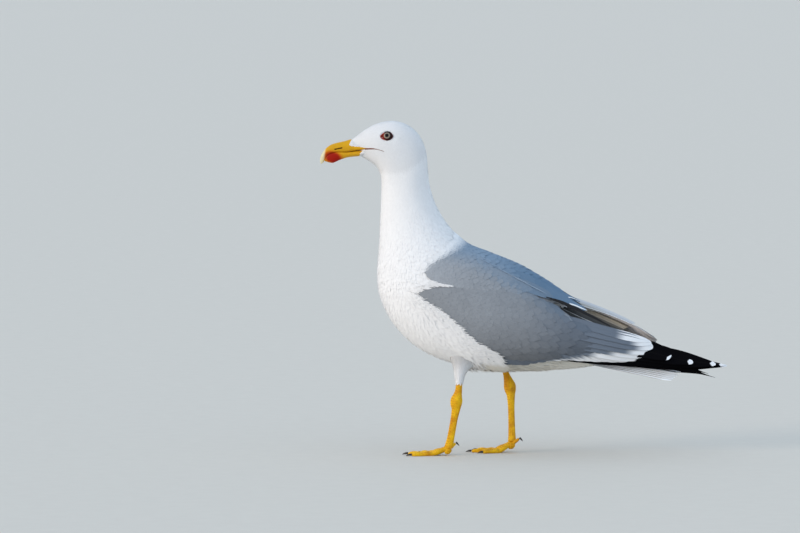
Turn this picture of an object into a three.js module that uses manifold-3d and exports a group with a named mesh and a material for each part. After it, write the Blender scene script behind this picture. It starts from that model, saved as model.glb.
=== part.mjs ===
// A yellow-legged gull (Larus michahellis), adult, standing still: a life-size display model.
// Millimetres, +Z up. The bird looks along -X, its left side faces -Y, and the floor is Z = 0.
import * as THREE from "three";
import { mergeVertices } from "three/addons/utils/BufferGeometryUtils.js";
import Module from "manifold-3d";

const wasm = await Module();
wasm.setup();

// ------------------------------------------------------------------ driving dimensions

const GAP = 0.35; // clearance kept between neighbouring nodes
const LEFT = -1;
const RIGHT = 1;
const SIDES = { left: LEFT, right: RIGHT };

// Cross sections from the bill to the tail. Each is slanted: it runs from a point on the upper
// outline to a point on the lower outline, both in the side view.
// [upper x, upper z, lower x, lower z, half width, how much wider it is below the middle]
const BODY_SECTIONS = [
  [-224, 409.0, -213.5, 388.5, 7.6, 0.0], // bill base
  [-215, 415.8, -207.5, 385.0, 12.4, 0.05],
  [-203, 424.3, -199.0, 380.0, 17.4, 0.1],
  [-187, 431.3, -191.0, 373.0, 21.6, 0.12], // eye
  [-168, 433.4, -186.3, 362.5, 24.2, 0.1], // crown
  [-150, 427.6, -185.5, 350.5, 25.6, 0.08],
  [-135.6, 414.4, -185.7, 337.0, 26.2, 0.04],
  [-127.2, 394.5, -186.2, 321.0, 27.0, 0.0], // nape
  [-124.6, 370, -187.0, 303.0, 28.6, 0.0],
  [-121.8, 347, -187.7, 284.0, 31.4, 0.0], // middle of the neck
  [-113, 322, -189.0, 262.0, 37.0, 0.0],
  [-97, 296.5, -190.8, 237.0, 46.0, 0.0], // neck base
  [-73, 274, -187.6, 206.0, 55.5, 0.0],
  [-40, 260, -170.0, 169.5, 61.5, 0.0],
  [-3, 243, -137.0, 137.5, 62.5, 0.03], // widest
  [32, 221, -90.0, 117.0, 58.0, 0.06],
  [61, 190, -38.0, 108.8, 47.0, 0.08],
  [84, 162, 14.0, 108.4, 34.0, 0.08], // rump
  [102, 143, 60.0, 110.5, 23.0, 0.05],
  [112, 133, 92.0, 114.5, 12.0, 0.0], // tail root
];
const HEAD_END = 7.25; // where the head is parted from the neck, in sections
const NECK_END = 11.0; // where the neck is parted from the torso, in sections
const SEAM = 0.014; // half of the cut between two lengths of the body, in sections

// The outer surface of the folded wings and back feathers, in the same form.
const CLOAK_SECTIONS = [
  [-97, 296.5, -190.8, 237.0, 46.5, 0.0],
  [-73, 274.8, -187.6, 206.0, 57.5, 0.0],
  [-40, 261.0, -170.0, 169.5, 65.5, 0.0],
  [-3, 245.3, -137.0, 136.5, 68.5, 0.03],
  [32, 224.6, -92.0, 114.5, 68.0, 0.08],
  [66, 201.5, -38.0, 106.0, 63.0, 0.14],
  [99, 188.0, 20.0, 104.0, 54.5, 0.2],
  [129, 175.5, 75.0, 106.0, 43.5, 0.24],
  [153, 163.5, 118.0, 109.0, 33.0, 0.24],
  [172, 151.0, 152.0, 113.0, 24.0, 0.2],
  [190, 141.0, 178.0, 117.0, 16.0, 0.1],
];

// Folded wing, as lower and upper edges of its coverts in the side view.
const WING_LOWER_EDGE = [
  [-141, 213], [-134, 200], [-118, 186], [-97, 169], [-75, 151], [-50, 140], [-20, 132], [15, 131],
  [50, 132], [78, 134],
];
const WING_UPPER_EDGE = {
  left: [
    [-141, 214], [-136, 226], [-118, 237], [-92, 240], [-62, 240], [-28, 234], [5, 222], [34, 206],
    [58, 189], [78, 176],
  ],
  right: [
    [-141, 214], [-136, 226], [-118, 237], [-92, 240], [-62, 240], [-28, 236], [5, 228], [36, 217],
    [60, 204], [82, 193],
  ],
};
const WING_THICKNESS = 6.5;

// Feather tracts of the folded wing. Each vane runs from a root to a tip in the side view.
const TERTIAL = { halfWidth: 13, tilt: 0.24 };
const TERTIAL_ROOTS = { left: [[38, 174], [38, 147]], right: [[38, 197], [38, 148]] };
const TERTIAL_TIPS = {
  left: [[160, 147.5], [167, 142], [161, 133.5], [147, 126]],
  right: [[168, 155.5], [172, 146], [163, 135], [149, 127]],
};
const SECONDARY = {
  count: 6, firstTip: [132, 121], lastTip: [22, 122], length: 66, slope: -0.62, halfWidth: 12, tilt: 0.3,
};
// Primaries from the outermost, at the bottom of the fold, to the innermost that shows.
const PRIMARY_ROOT = { x: 46, z: 126.5, rise: 5.6, depth: 8.2 };
const PRIMARY_MIDDLE = { x: 142, z: 120, rise: 4.4, depth: 9.2 };
const PRIMARY_LAYER = 1.6; // how much nearer the surface each next one lies
const PRIMARY_HALF_WIDTH = 10.5;
const PRIMARY_TILT = 0.3;
const PRIMARY_TIPS = {
  left: [
    [264.56, -4, 115.6], [259.5, -4.8, 118], [245.5, -6.8, 120.6], [213.5, -12, 124.6], [182, -17.5, 129.5],
  ],
  right: [[251.8, 19, 96.2], [245, 19, 99.5], [231, 20, 104.5], [204, 22, 114], [178, 24, 124]],
};

// Tail feathers, from the central pair outwards.
const TAIL = {
  perSide: 6, root: [58, 130], tip: [203.5, 103.6], centre: 11.9, spread: 2.9, shortening: 3.4, drop: 1.5,
  halfWidth: 11.4, roof: 0.1,
};
// The fleshy root of the tail: x, z, half height and half width.
const TAIL_BLOCK = [
  [54, 131, 3, 6], [70, 128.5, 6, 14], [90, 125, 7, 18], [108, 121, 5.5, 17], [124, 117, 2.5, 14],
];

// The grey saddle of mantle and scapulars: its lower edge in the side view, from the front.
const SADDLE_EDGE = [
  [-130, 241], [-121, 230.5], [-102, 223], [-80, 219.5], [-52, 217], [-20, 212.5], [12, 206.5], [40, 200],
];
const SADDLE_FRONT = 0.28; // on the cloak's upper outline, in sections
const SADDLE_REAR = 4.6;
const SCAPULAR_TIPS = [[80, 189], [70, 200], [58, 185]];

const SADDLE_THICKNESS = 5.2;

const FEATHER_EDGE = 0.55; // thickness at a vane's edge
const FEATHER_SHAFT = 1.15; // thickness along its shaft

// Legs. Each row of a limb is [x, y, z, radius fore and aft, radius sideways].
const LEGS = {
  left: {
    thigh: [
      [-72, -31, 141, 25, 17.5], [-79, -32, 127, 18.5, 13.5], [-82.6, -33, 116.5, 11, 9.6],
      [-83.8, -33.8, 107, 7.6, 7], [-84.4, -34.3, 95.5, 5.4, 5.2],
    ],
    shank: [
      [-84.1, -34.2, 99, 4.0, 3.5], [-85, -34.6, 86, 4.4, 3.7], [-86.2, -34.7, 79.5, 5.6, 4.6],
      [-87.6, -34.6, 73.5, 7.6, 5.9], [-88.3, -34, 67, 7.3, 5.8], [-88.6, -33.4, 60.5, 5.6, 4.4],
      [-90.6, -32, 49, 4.6, 3.3], [-93.2, -30, 34, 4.5, 3.2], [-95.8, -28, 20, 4.8, 3.6],
      [-97.8, -26.6, 10.8, 5.6, 5.2],
    ],
    foot: { heel: [-98.8, -26, 6.6], lift: 5.6, yaw: 0.12 },
  },
  right: {
    thigh: [
      [-40, 30, 142, 25, 17], [-36, 31, 128, 19, 14.5], [-29.5, 32, 117, 10, 9], [-25.5, 32, 110, 5, 4.8],
    ],
    shank: [
      [-26.4, 32, 113.5, 3.2, 3.0], [-22.4, 31.6, 101.5, 4.0, 3.5], [-19.8, 31.4, 93.5, 5.8, 4.6],
      [-17.8, 31, 86.5, 7.7, 5.9], [-16.9, 30.6, 80, 7.2, 5.8], [-16.2, 29.4, 73.5, 5.4, 4.3],
      [-15.8, 26.5, 60, 4.3, 3.2], [-15.4, 22, 42, 4.2, 3.1], [-15, 18.2, 24, 4.6, 3.5],
      [-14.8, 16.6, 14.6, 5.4, 5.0],
    ],
    foot: { heel: [-15.6, 16, 9.6], lift: 8.0, yaw: 0.0 },
  },
};
// Front toes: the angle from the middle toe, positive towards the bird's midline, and the length.
const TOES = { inner: [0.42, 41], middle: [0, 52], outer: [-0.4, 49] };
const TOE_RADIUS = 3.3;
// The hind toe: x behind, y towards the midline and z above the heel, and the radius.
const HALLUX = [[2.5, 1.5, 3, 2.4], [6.6, 3, 6, 2.1], [9.4, 4, 8.6, 1.6]];
// A claw: share of its length, height of its middle, half height and half width.
const CLAW_SHAPE = [
  [0, 2.3, 1.55, 1.35], [0.3, 2.3, 1.4, 1.2], [0.65, 1.8, 0.95, 0.85], [1, 0.75, 0.3, 0.3],
];
const CLAW_LENGTH = 7;
const WEB_THICKNESS = 1.3;

// Bill: upper and lower edges of its cross sections and half widths. The mouth line is shared.
const UPPER_BILL = [
  [-203.0, 399.2, -203.0, 397.6, 12.6],
  [-211.0, 401.2, -211.0, 395.9, 10.9],
  [-218.5, 406.4, -217.5, 394.9, 9.1],
  [-224.3, 409.3, -222.0, 394.2, 7.9],
  [-233.0, 407.1, -231.0, 393.0, 6.9],
  [-243.0, 404.9, -241.0, 393.0, 6.0],
  [-250.5, 402.4, -248.8, 391.8, 5.2],
  [-256.8, 398.0, -253.8, 389.3, 4.3],
  [-261.3, 392.5, -256.9, 386.0, 3.3],
  [-263.8, 387.4, -258.2, 383.2, 2.5],
  [-264.7, 382.2, -260.0, 380.2, 1.7],
  [-263.9, 377.4, -262.5, 377.9, 0.5],
];
const LOWER_BILL = [
  [-205.0, 396.4, -206.0, 389.6, 11.4],
  [-213.0, 394.6, -212.6, 387.7, 9.4],
  [-222.0, 393.2, -221.5, 386.9, 7.3],
  [-231.0, 392.0, -230.0, 385.7, 6.1],
  [-241.0, 392.0, -239.6, 382.4, 5.3],
  [-248.6, 390.8, -247.6, 378.9, 4.4],
  [-253.3, 388.3, -252.6, 379.3, 3.4],
  [-256.2, 385.1, -255.9, 380.2, 2.5],
  [-258.6, 381.9, -258.2, 380.9, 0.8],
];
const NOSTRIL = { from: [-245.3, 396.6], to: [-236, 398.4], halfHeight: 0.8, out: 6.4 };
const MOUTH_CORNER = [[-206, 397.6], [-197, 397.9], [-189, 396.9], [-181.5, 394.4]];

const EYE = { x: -177.4, z: 416, radius: 8, sunk: 6.1 };
const LIDS = { front: 8.6, rear: 7.4, half: 5.5, radius: 1.15 };

// ------------------------------------------------------------------ curves and surfaces

const mix = (a, b, f) => a + (b - a) * f;
const clamp = (x, low, high) => Math.min(Math.max(x, low), high);
const ease = (x) => {
  const f = clamp(x, 0, 1);
  return f * f * (3 - 2 * f);
};

// A smooth curve through equally spaced rows of numbers, at t from 0 to the last row's index.
function along(rows, t) {
  const last = rows.length - 1;
  const i = clamp(Math.floor(t), 0, last - 1);
  const f = clamp(t - i, 0, 1);
  const [a, b, c, d] = [-1, 0, 1, 2].map((k) => rows[clamp(i + k, 0, last)]);
  return b.map(
    (_, k) =>
      0.5 *
      (2 * b[k] +
        (c[k] - a[k]) * f +
        (2 * a[k] - 5 * b[k] + 4 * c[k] - d[k]) * f * f +
        (3 * b[k] - a[k] - 3 * c[k] + d[k]) * f * f * f),
  );
}

// A surface through slanted sections. angle is 0 on the upper outline, pi on the lower one and
// positive on the bird's right side.
class Surface {
  constructor(rows) {
    this.rows = rows;
  }

  bare(t, angle) {
    const [ux, uz, lx, lz, width, low] = along(this.rows, t);
    const c = Math.cos(angle);
    const y = width * Math.sin(angle) * (1 - low * c);
    return new THREE.Vector3((ux + lx) / 2 + ((ux - lx) / 2) * c, y, (uz + lz) / 2 + ((uz - lz) / 2) * c);
  }

  normal(t, angle) {
    const step = 0.02;
    const last = this.rows.length - 1;
    const t0 = clamp(t, 0.03, last - 0.03);
    const alongBody = this.bare(t0 + step, angle).sub(this.bare(t0 - step, angle));
    const around = this.bare(t0, angle + step).sub(this.bare(t0, angle - step));
    return around.cross(alongBody).negate().normalize();
  }

  point(t, angle, out = 0) {
    return this.bare(t, angle).addScaledVector(this.normal(t, angle), out);
  }

  // The section and angle (0 to pi) of a point in the side view.
  locate(x, z) {
    const last = this.rows.length - 1;
    const past = (t) => {
      const [ux, uz, lx, lz] = along(this.rows, t);
      return (x - ux) * (uz - lz) - (z - uz) * (ux - lx);
    };
    let low = 0;
    let high = last;
    for (let i = 0; i < 40; i++) {
      const middle = (low + high) / 2;
      if (past(middle) > 0) low = middle;
      else high = middle;
    }
    const t = (low + high) / 2;
    const [ux, uz, lx, lz] = along(this.rows, t);
    const down = ((ux - x) * (ux - lx) + (uz - z) * (uz - lz)) / ((ux - lx) ** 2 + (uz - lz) ** 2);
    return [t, Math.acos(clamp(1 - 2 * down, -1, 1))];
  }
}

const body = new Surface(BODY_SECTIONS);
const cloak = new Surface(CLOAK_SECTIONS);

// ------------------------------------------------------------------ solids

function solid(positions, triangles) {
  const geometry = new THREE.BufferGeometry();
  const places = positions.flatMap((p) => p.toArray());
  geometry.setAttribute("position", new THREE.Float32BufferAttribute(places, 3));
  geometry.setIndex(triangles.flat());
  const merged = mergeVertices(geometry, 1e-4);
  const vertProperties = merged.attributes.position.array;
  const kept = [];
  for (let i = 0; i < merged.index.count; i += 3) {
    const corners = [0, 1, 2].map((k) => merged.index.getX(i + k));
    if (new Set(corners).size === 3) kept.push(corners);
  }
  const build = (faces) =>
  {
    const triVerts = new Uint32Array(faces.flat());
    return new wasm.Manifold(new wasm.Mesh({ numProp: 3, vertProperties, triVerts }));
  };
  const made = build(kept);
  return made.volume() > 0 ? made : build(kept.map(([a, b, c]) => [a, c, b]));
}

// A closed tube through rings of equally many points, with flat ends.
function tube(rings) {
  const around = rings[0].length;
  const points = rings.flat();
  const faces = [];
  for (let i = 0; i + 1 < rings.length; i++)
    for (let j = 0; j < around; j++) {
      const [a, b] = [i * around + j, i * around + ((j + 1) % around)];
      faces.push([a, b, b + around], [a, b + around, a + around]);
    }
  for (const [ring, flip] of [[0, true], [rings.length - 1, false]]) {
    const centre = points.length;
    points.push(rings[ring].reduce((sum, p) => sum.add(p), new THREE.Vector3()).divideScalar(around));
    for (let j = 0; j < around; j++) {
      const [a, b] = [ring * around + j, ring * around + ((j + 1) % around)];
      faces.push(flip ? [b, a, centre] : [a, b, centre]);
    }
  }
  return solid(points, faces);
}

// A closed plate between two faces, both split into triangles alike. face(i, j, side) gives a point.
function plate(face, rows, columns) {
  const points = [];
  const faces = [];
  const index = (i, j, side) => (side * (rows + 1) + i) * (columns + 1) + j;
  for (const side of [0, 1])
    for (let i = 0; i <= rows; i++)
      for (let j = 0; j <= columns; j++) points.push(face(i / rows, j / columns, side));
  for (let i = 0; i < rows; i++)
    for (let j = 0; j < columns; j++)
      for (const side of [0, 1]) {
        const [a, b] = [index(i, j, side), index(i, j + 1, side)];
        const [c, d] = [index(i + 1, j + 1, side), index(i + 1, j, side)];
        faces.push(...(side ? [[a, b, c], [a, c, d]] : [[a, c, b], [a, d, c]]));
      }
  const rim = [];
  for (let j = 0; j < columns; j++) rim.push([0, j]);
  for (let i = 0; i < rows; i++) rim.push([i, columns]);
  for (let j = columns; j > 0; j--) rim.push([rows, j]);
  for (let i = rows; i > 0; i--) rim.push([i, 0]);
  rim.forEach(([i, j], k) => {
    const [m, n] = rim[(k + 1) % rim.length];
    faces.push([index(i, j, 0), index(m, n, 0), index(m, n, 1)]);
    faces.push([index(i, j, 0), index(m, n, 1), index(i, j, 1)]);
  });
  return solid(points, faces);
}

const union = (pieces) => wasm.Manifold.union(pieces);

// The largest closed surface of a solid, which drops loose scraps and sealed hollows.
function largest(made) {
  const shells = made.decompose().filter((piece) => piece.volume() > 0);
  return shells.reduce((best, piece) => (piece.volume() > best.volume() ? piece : best));
}

// ------------------------------------------------------------------ feathers

// The outline of a vane: shares of its length, and of its full width there.
const VANE = [[0, 0.5], [0.34, 0.95], [0.68, 1], [0.9, 0.72], [1, 0.26]];
const SHORT_VANE = [[0, 0.7], [0.55, 1], [0.86, 0.8], [1, 0.3]];
const QUILL_VANE = [[0, 0.7], [0.4, 1], [0.72, 0.92], [0.92, 0.55], [1, 0.2]];
const TAIL_VANE = [[0, 0.35], [0.4, 0.75], [0.75, 0.95], [0.95, 0.9], [1, 0.5]];

// One feather vane along a path. path(s) gives a point and the surface's normal there.
function vane(path, halfWidth, { tilt = 0, grow = 0, outline = VANE } = {}) {
  const rows = outline.length - 1;
  const frames = outline.map(([s]) => {
    const { point, normal } = path(s);
    const tangent = path(Math.min(s + 0.02, 1)).point.sub(path(Math.max(s - 0.02, 0)).point).normalize();
    const across = new THREE.Vector3().crossVectors(normal, tangent).normalize();
    const up = new THREE.Vector3().crossVectors(tangent, across).normalize();
    const side = across.clone().multiplyScalar(Math.cos(tilt)).addScaledVector(up, Math.sin(tilt));
    const lift = new THREE.Vector3().crossVectors(tangent, side).normalize();
    return { point, tangent, side, lift };
  });
  return plate(
    (u, v, top) => {
      const row = Math.round(u * rows);
      const { point, tangent, side, lift } = frames[row];
      const place = 2 * v - 1;
      const width = halfWidth * outline[row][1] + grow;
      const thinning = row === rows ? 0.75 : 1;
      const thickness = mix(FEATHER_SHAFT, FEATHER_EDGE, Math.abs(place)) * thinning + 2 * grow;
      const end = row === 0 ? -grow : row === rows ? grow : 0;
      return point
        .clone()
        .addScaledVector(side, place * width)
        .addScaledVector(lift, (top ? 0.5 : -0.5) * thickness)
        .addScaledVector(tangent, end);
    },
    rows,
    2,
  );
}

// A path over the cloak, straight in the side view, between two depths under (or over) it.
function cloakPath(side, root, tip, rootOut, tipOut) {
  return (s) => {
    const [t, angle] = cloak.locate(mix(root[0], tip[0], s), mix(root[1], tip[1], s));
    const out = mix(rootOut, tipOut, ease(s * 1.6));
    return { point: cloak.point(t, side * angle, out), normal: cloak.normal(t, side * angle) };
  };
}

// A smooth path through three points, with the normals there.
function archPath(points, normals) {
  const weights = (s) => [2 * (s - 0.5) * (s - 1), 4 * s * (1 - s), 2 * s * (s - 0.5)];
  const blend = (vectors, s) =>
    vectors.reduce((sum, v, k) => sum.addScaledVector(v, weights(s)[k]), new THREE.Vector3());
  return (s) => ({ point: blend(points, s), normal: blend(normals, s).normalize() });
}

// ------------------------------------------------------------------ flesh

const AROUND = 22;

function bodyRing(t, grow = 0) {
  return Array.from({ length: AROUND }, (_, j) => body.point(t, (2 * Math.PI * j) / AROUND, grow));
}

function bodyLength(from, to, rings) {
  return tube(Array.from({ length: rings + 1 }, (_, i) => bodyRing(mix(from, to, i / rings))));
}

// An ellipse-sectioned limb through rows of [x, y, z, radius fore and aft, radius sideways].
function limb(rows, { rings = 12, around = 12, grow = 0, from = 0, to = rows.length - 1 } = {}) {
  const centre = (t) => new THREE.Vector3(...along(rows, t).slice(0, 3));
  return tube(
    Array.from({ length: rings + 1 }, (_, i) => {
      const t = mix(from, to, i / rings);
      const [, , , fore, wide] = along(rows, t);
      const tangent = centre(Math.min(t + 0.05, to)).sub(centre(Math.max(t - 0.05, from))).normalize();
      const sideways = new THREE.Vector3(0, 1, 0).addScaledVector(tangent, -tangent.y).normalize();
      const forward = new THREE.Vector3().crossVectors(sideways, tangent);
      const end = i === 0 ? -grow : i === rings ? grow : 0;
      return Array.from({ length: around }, (_, j) => {
        const a = (2 * Math.PI * j) / around;
        return centre(t)
          .addScaledVector(forward, (fore + grow) * Math.cos(a))
          .addScaledVector(sideways, (wide + grow) * Math.sin(a))
          .addScaledVector(tangent, end);
      });
    }),
  );
}

// ------------------------------------------------------------------ wing

// The plate of small covers over the arm, between the wing's lower and upper edges.
function wingPlate(name, grow = 0) {
  const side = SIDES[name];
  const last = WING_LOWER_EDGE.length - 1;
  return plate(
    (u, v, outer) => {
      const t = last * u ** 1.25;
      const end = 1.4 * (u === 0 ? -grow : u === 1 ? grow : 0);
      const [lowX, lowZ] = along(WING_LOWER_EDGE, t);
      const [highX, highZ] = along(WING_UPPER_EDGE[name], t);
      const [lowT, lowAngle] = cloak.locate(lowX + end, lowZ - (u === 0 ? grow : 0));
      const [highT, highAngle] = cloak.locate(highX + end, highZ + (u === 0 ? grow : 0));
      const spread = 1 + grow / 28;
      const f = 0.5 + (v - 0.5) * spread;
      const rim = Math.min(ease(v * 5), ease((1 - v) * 5), ease(u * 9));
      const out = outer ? mix(-1.1, 0.5, rim) + grow : -mix(2.1, WING_THICKNESS, rim) - grow;
      return cloak.point(mix(lowT, highT, f), side * mix(lowAngle, highAngle, f), out);
    },
    13,
    6,
  );
}

function rank(count, first, last, make) {
  return Array.from({ length: count }, (_, i) => {
    const f = i / (count - 1);
    return make([mix(first[0], last[0], f), mix(first[1], last[1], f)], f, i);
  });
}

function secondaries(side, grow = 0) {
  const { count, firstTip, lastTip, length, slope, halfWidth, tilt } = SECONDARY;
  return rank(count, firstTip, lastTip, (tip) => {
    const reach = length / Math.hypot(1, slope);
    const root = [tip[0] - reach, tip[1] - reach * slope];
    const path = cloakPath(side, root, tip, -3.2, -2.2);
    return vane(path, halfWidth, { tilt: side * tilt, grow, outline: SHORT_VANE });
  });
}

function primaries(name, grow = 0) {
  const side = SIDES[name];
  return PRIMARY_TIPS[name].map(([x, y, z], i) => {
    const stations = [PRIMARY_ROOT, PRIMARY_MIDDLE].map((s) => {
      const [t, angle] = cloak.locate(s.x, s.z + s.rise * i);
      const out = PRIMARY_LAYER * i - s.depth;
      return { point: cloak.point(t, side * angle, out), normal: cloak.normal(t, side * angle) };
    });
    const tip = new THREE.Vector3(x, y, z);
    const tipNormal = new THREE.Vector3(0, side * 0.62, 0.78);
    const points = [stations[0].point, stations[1].point, tip];
    const path = archPath(points, [stations[0].normal, stations[1].normal, tipNormal]);
    return vane(path, PRIMARY_HALF_WIDTH, { tilt: side * PRIMARY_TILT, grow, outline: QUILL_VANE });
  });
}

function tertials(name, grow = 0) {
  const side = SIDES[name];
  const tips = TERTIAL_TIPS[name];
  const [first, last] = TERTIAL_ROOTS[name];
  return rank(tips.length, first, last, (root, f, i) => {
    const path = cloakPath(side, root, tips[i], -2.6, 0.2);
    return vane(path, TERTIAL.halfWidth, { tilt: side * TERTIAL.tilt, grow });
  });
}

function wingPieces(name, grow = 0) {
  const side = SIDES[name];
  return [
    wingPlate(name, grow),
    ...tertials(name, grow),
    ...secondaries(side, grow),
    ...primaries(name, grow),
  ];
}

// ------------------------------------------------------------------ saddle

// The mantle and both scapular lobes, over the back and the upper edges of the wings.
function saddlePieces(grow = 0) {
  const last = SADDLE_EDGE.length - 1;
  const over = plate(
    (u, v, outer) => {
      const [t, angle] = cloak.locate(...along(SADDLE_EDGE, last * u));
      const place = 2 * v - 1;
      const reach = 1 + grow / 60;
      const middle = mix(SADDLE_FRONT, SADDLE_REAR, u);
      const rim = Math.min(ease((1 - Math.abs(place)) * 6), ease(u * 7), ease((1 - u) * 5));
      const out = outer ? mix(-0.4, 1.4, rim) + grow : -mix(1.6, SADDLE_THICKNESS, rim) - grow;
      const end = (u === 0 ? -grow : u === 1 ? grow : 0) / 30;
      return cloak.point(mix(middle, t, Math.abs(place) ** 1.4) + end, place * angle * reach, out);
    },
    10,
    10,
  );
  const vanes = Object.values(SIDES).flatMap((side) =>
    SCAPULAR_TIPS.map(([x, z], i) => {
      const path = cloakPath(side, [x - 58, z + 22], [x, z], -1.2, 1.5 - 0.9 * i);
      return vane(path, 12.5, { tilt: side * 0.1, grow, outline: SHORT_VANE });
    }),
  );
  return [over, ...vanes];
}

// ------------------------------------------------------------------ tail

function tailPieces(grow = 0) {
  const pieces = [];
  const { root, tip, perSide, centre, spread, shortening, drop, halfWidth, roof } = TAIL;
  for (let i = 0; i < perSide; i++)
    for (const side of [LEFT, RIGHT]) {
      const middlePair = i === 0;
      const down = drop * (middlePair && side === LEFT ? -0.8 : i);
      const out = middlePair ? centre / 2.4 : centre + spread * (i - 1);
      const start = new THREE.Vector3(root[0], side * out * 0.32, root[1] - 0.7 * down);
      const end = new THREE.Vector3(tip[0] - shortening * i, side * out, tip[1] - down);
      const middle = start.clone().lerp(end, 0.5).add(new THREE.Vector3(0, 0, -1.5));
      const lean = middlePair ? 0 : roof;
      const up = new THREE.Vector3(0.13, side * Math.sin(lean), Math.cos(lean));
      const path = archPath([start, middle, end], [up, up, up]);
      pieces.push(vane(path, halfWidth, { grow, outline: TAIL_VANE }));
    }
  const last = TAIL_BLOCK.length - 1;
  const block = TAIL_BLOCK.map(([x, z, high, wide], i) => {
    const end = i === 0 ? -grow : i === last ? grow : 0;
    return ellipse([x + end, 0, z], high + grow, wide + grow);
  });
  return [...pieces, tube(block)];
}

// A ring standing across the body.
function ellipse([x, y, z], high, wide, around = 14) {
  return Array.from({ length: around }, (_, j) => {
    const a = (2 * Math.PI * j) / around;
    return new THREE.Vector3(x, y + wide * Math.sin(a), z + high * Math.cos(a));
  });
}

// ------------------------------------------------------------------ legs

const limbRows = (rows, start, end) => ({ rows, start, end });

function footFrame(name) {
  const { heel, lift, yaw } = LEGS[name].foot;
  const side = SIDES[name];
  // A point at a distance ahead of the heel, on a bearing that is positive towards the midline.
  const ahead = (bearing, distance, height) => [
    heel[0] - distance * Math.cos(bearing + yaw),
    heel[1] - side * distance * Math.sin(bearing + yaw),
    height,
  ];
  return { heel, lift, side, ahead };
}

const toeHeight = (lift, radius, s) => radius - 0.5 + lift * (1 - ease(s * 2.1));

function toe(name, bearing, length, grow = 0) {
  const { lift, ahead } = footFrame(name);
  const swelling = [1.25, 1, 1.12, 0.92, 1.05, 0.88, 0.98, 0.72];
  const rows = swelling.map((share, i) => {
    const s = i / (swelling.length - 1);
    const radius = TOE_RADIUS * share * (1 - 0.14 * s);
    return [...ahead(bearing, length * s, toeHeight(lift, radius, s)), radius, radius * 1.1];
  });
  return limb(rows, { rings: 7, around: 7, grow });
}

function web(name, [fromBearing, fromLength], [toBearing, toLength]) {
  const { lift, ahead } = footFrame(name);
  return plate(
    (u, v, top) => {
      const reach = mix(fromLength, toLength, v) * (0.97 - 0.13 * Math.sin(Math.PI * v));
      const height = 0.5 + 0.8 * lift * (1 - ease(u * 2.1)) + (top ? WEB_THICKNESS : 0);
      return new THREE.Vector3(...ahead(mix(fromBearing, toBearing, v), reach * mix(0.08, 1, u), height));
    },
    3,
    3,
  );
}

function hallux(name, grow = 0) {
  const { heel, side } = footFrame(name);
  const place = ([x, y, z]) => [heel[0] + x, heel[1] - side * y, heel[2] + z];
  const rows = HALLUX.map(([x, y, z, radius]) => [...place([x, y, z]), radius, radius]);
  return limb(rows, { rings: 3, around: 7, grow });
}

function claw(rows) {
  return limb(rows, { rings: 4, around: 6 });
}

function toeClaw(name, [bearing, length]) {
  const { ahead } = footFrame(name);
  return claw(
    CLAW_SHAPE.map(([s, height, tall, wide]) => {
      const reach = length + 2 * GAP + s * CLAW_LENGTH;
      return [...ahead(bearing, reach, height), tall, wide];
    }),
  );
}

function halluxClaw(name) {
  const { heel, side } = footFrame(name);
  const [x, y, z] = HALLUX[HALLUX.length - 1];
  return claw(
    CLAW_SHAPE.map(([s, , tall, wide]) => {
      const height = heel[2] + z + 1.4 - s * 3.2 - s * s * 1.4;
      return [heel[0] + x + 1.1 + s * 4.2, heel[1] - side * (y + 0.4), height, tall * 0.85, wide * 0.85];
    }),
  );
}

// ------------------------------------------------------------------ head

// A ring between two points of the side view, bulging sideways.
function slantedRing([ux, uz, lx, lz, half], grow = 0, around = 12) {
  return Array.from({ length: around }, (_, j) => {
    const a = (2 * Math.PI * j) / around;
    const reach = Math.hypot(ux - lx, uz - lz) / 2;
    const stretch = (reach + grow) / reach;
    const c = Math.sign(Math.cos(a)) * Math.abs(Math.cos(a)) ** 0.92;
    return new THREE.Vector3(
      (ux + lx) / 2 + ((ux - lx) / 2) * stretch * c,
      (half + grow) * Math.sin(a),
      (uz + lz) / 2 + ((uz - lz) / 2) * stretch * c,
    );
  });
}

function bill(rows, grow = 0) {
  const ends = [grow, ...rows.slice(2).map(() => 0), -grow];
  return tube(
    rows.map(([ux, uz, lx, lz, half], i) => slantedRing([ux + ends[i], uz, lx + ends[i], lz, half], grow)),
  );
}

const onHead = ([x, z], side, out = 0) => {
  const [t, angle] = body.locate(x, z);
  return body.point(t, side * angle, out);
};

function ball(centre, radius, segments = 12) {
  const geometry = new THREE.SphereGeometry(radius, segments, Math.round(segments * 0.6));
  const positions = geometry.attributes.position;
  const points = Array.from({ length: positions.count }, (_, i) =>
    new THREE.Vector3().fromBufferAttribute(positions, i).add(centre),
  );
  const index = Array.from(geometry.index.array);
  const faces = [];
  for (let i = 0; i < index.length; i += 3) faces.push(index.slice(i, i + 3));
  return solid(points, faces);
}

function eyeCentre(side) {
  const [t, angle] = body.locate(EYE.x, EYE.z);
  return body.point(t, side * angle, -EYE.sunk);
}

// A closed tube of one radius through points, used for the rim of the eye and for grooves.
function cord(points, radius, closed = false, around = 5) {
  const count = points.length;
  const rings = points.map((point, i) => {
    const next = points[closed ? (i + 1) % count : Math.min(i + 1, count - 1)];
    const before = points[closed ? (i + count - 1) % count : Math.max(i - 1, 0)];
    const tangent = next.clone().sub(before).normalize();
    const side = new THREE.Vector3(0, 1, 0).addScaledVector(tangent, -tangent.y).normalize();
    const other = new THREE.Vector3().crossVectors(tangent, side);
    return Array.from({ length: around }, (_, j) => {
      const a = (2 * Math.PI * j) / around;
      const outer = point.clone().addScaledVector(side, radius * Math.cos(a));
      return outer.addScaledVector(other, radius * Math.sin(a));
    });
  });
  if (!closed) return tube(rings);
  const faces = [];
  for (let i = 0; i < count; i++)
    for (let j = 0; j < around; j++) {
      const n = (i + 1) % count;
      const k = (j + 1) % around;
      const [a, b, c, d] = [i * around + j, i * around + k, n * around + k, n * around + j];
      faces.push([a, b, c], [a, c, d]);
    }
  return solid(rings.flat(), faces);
}

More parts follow.
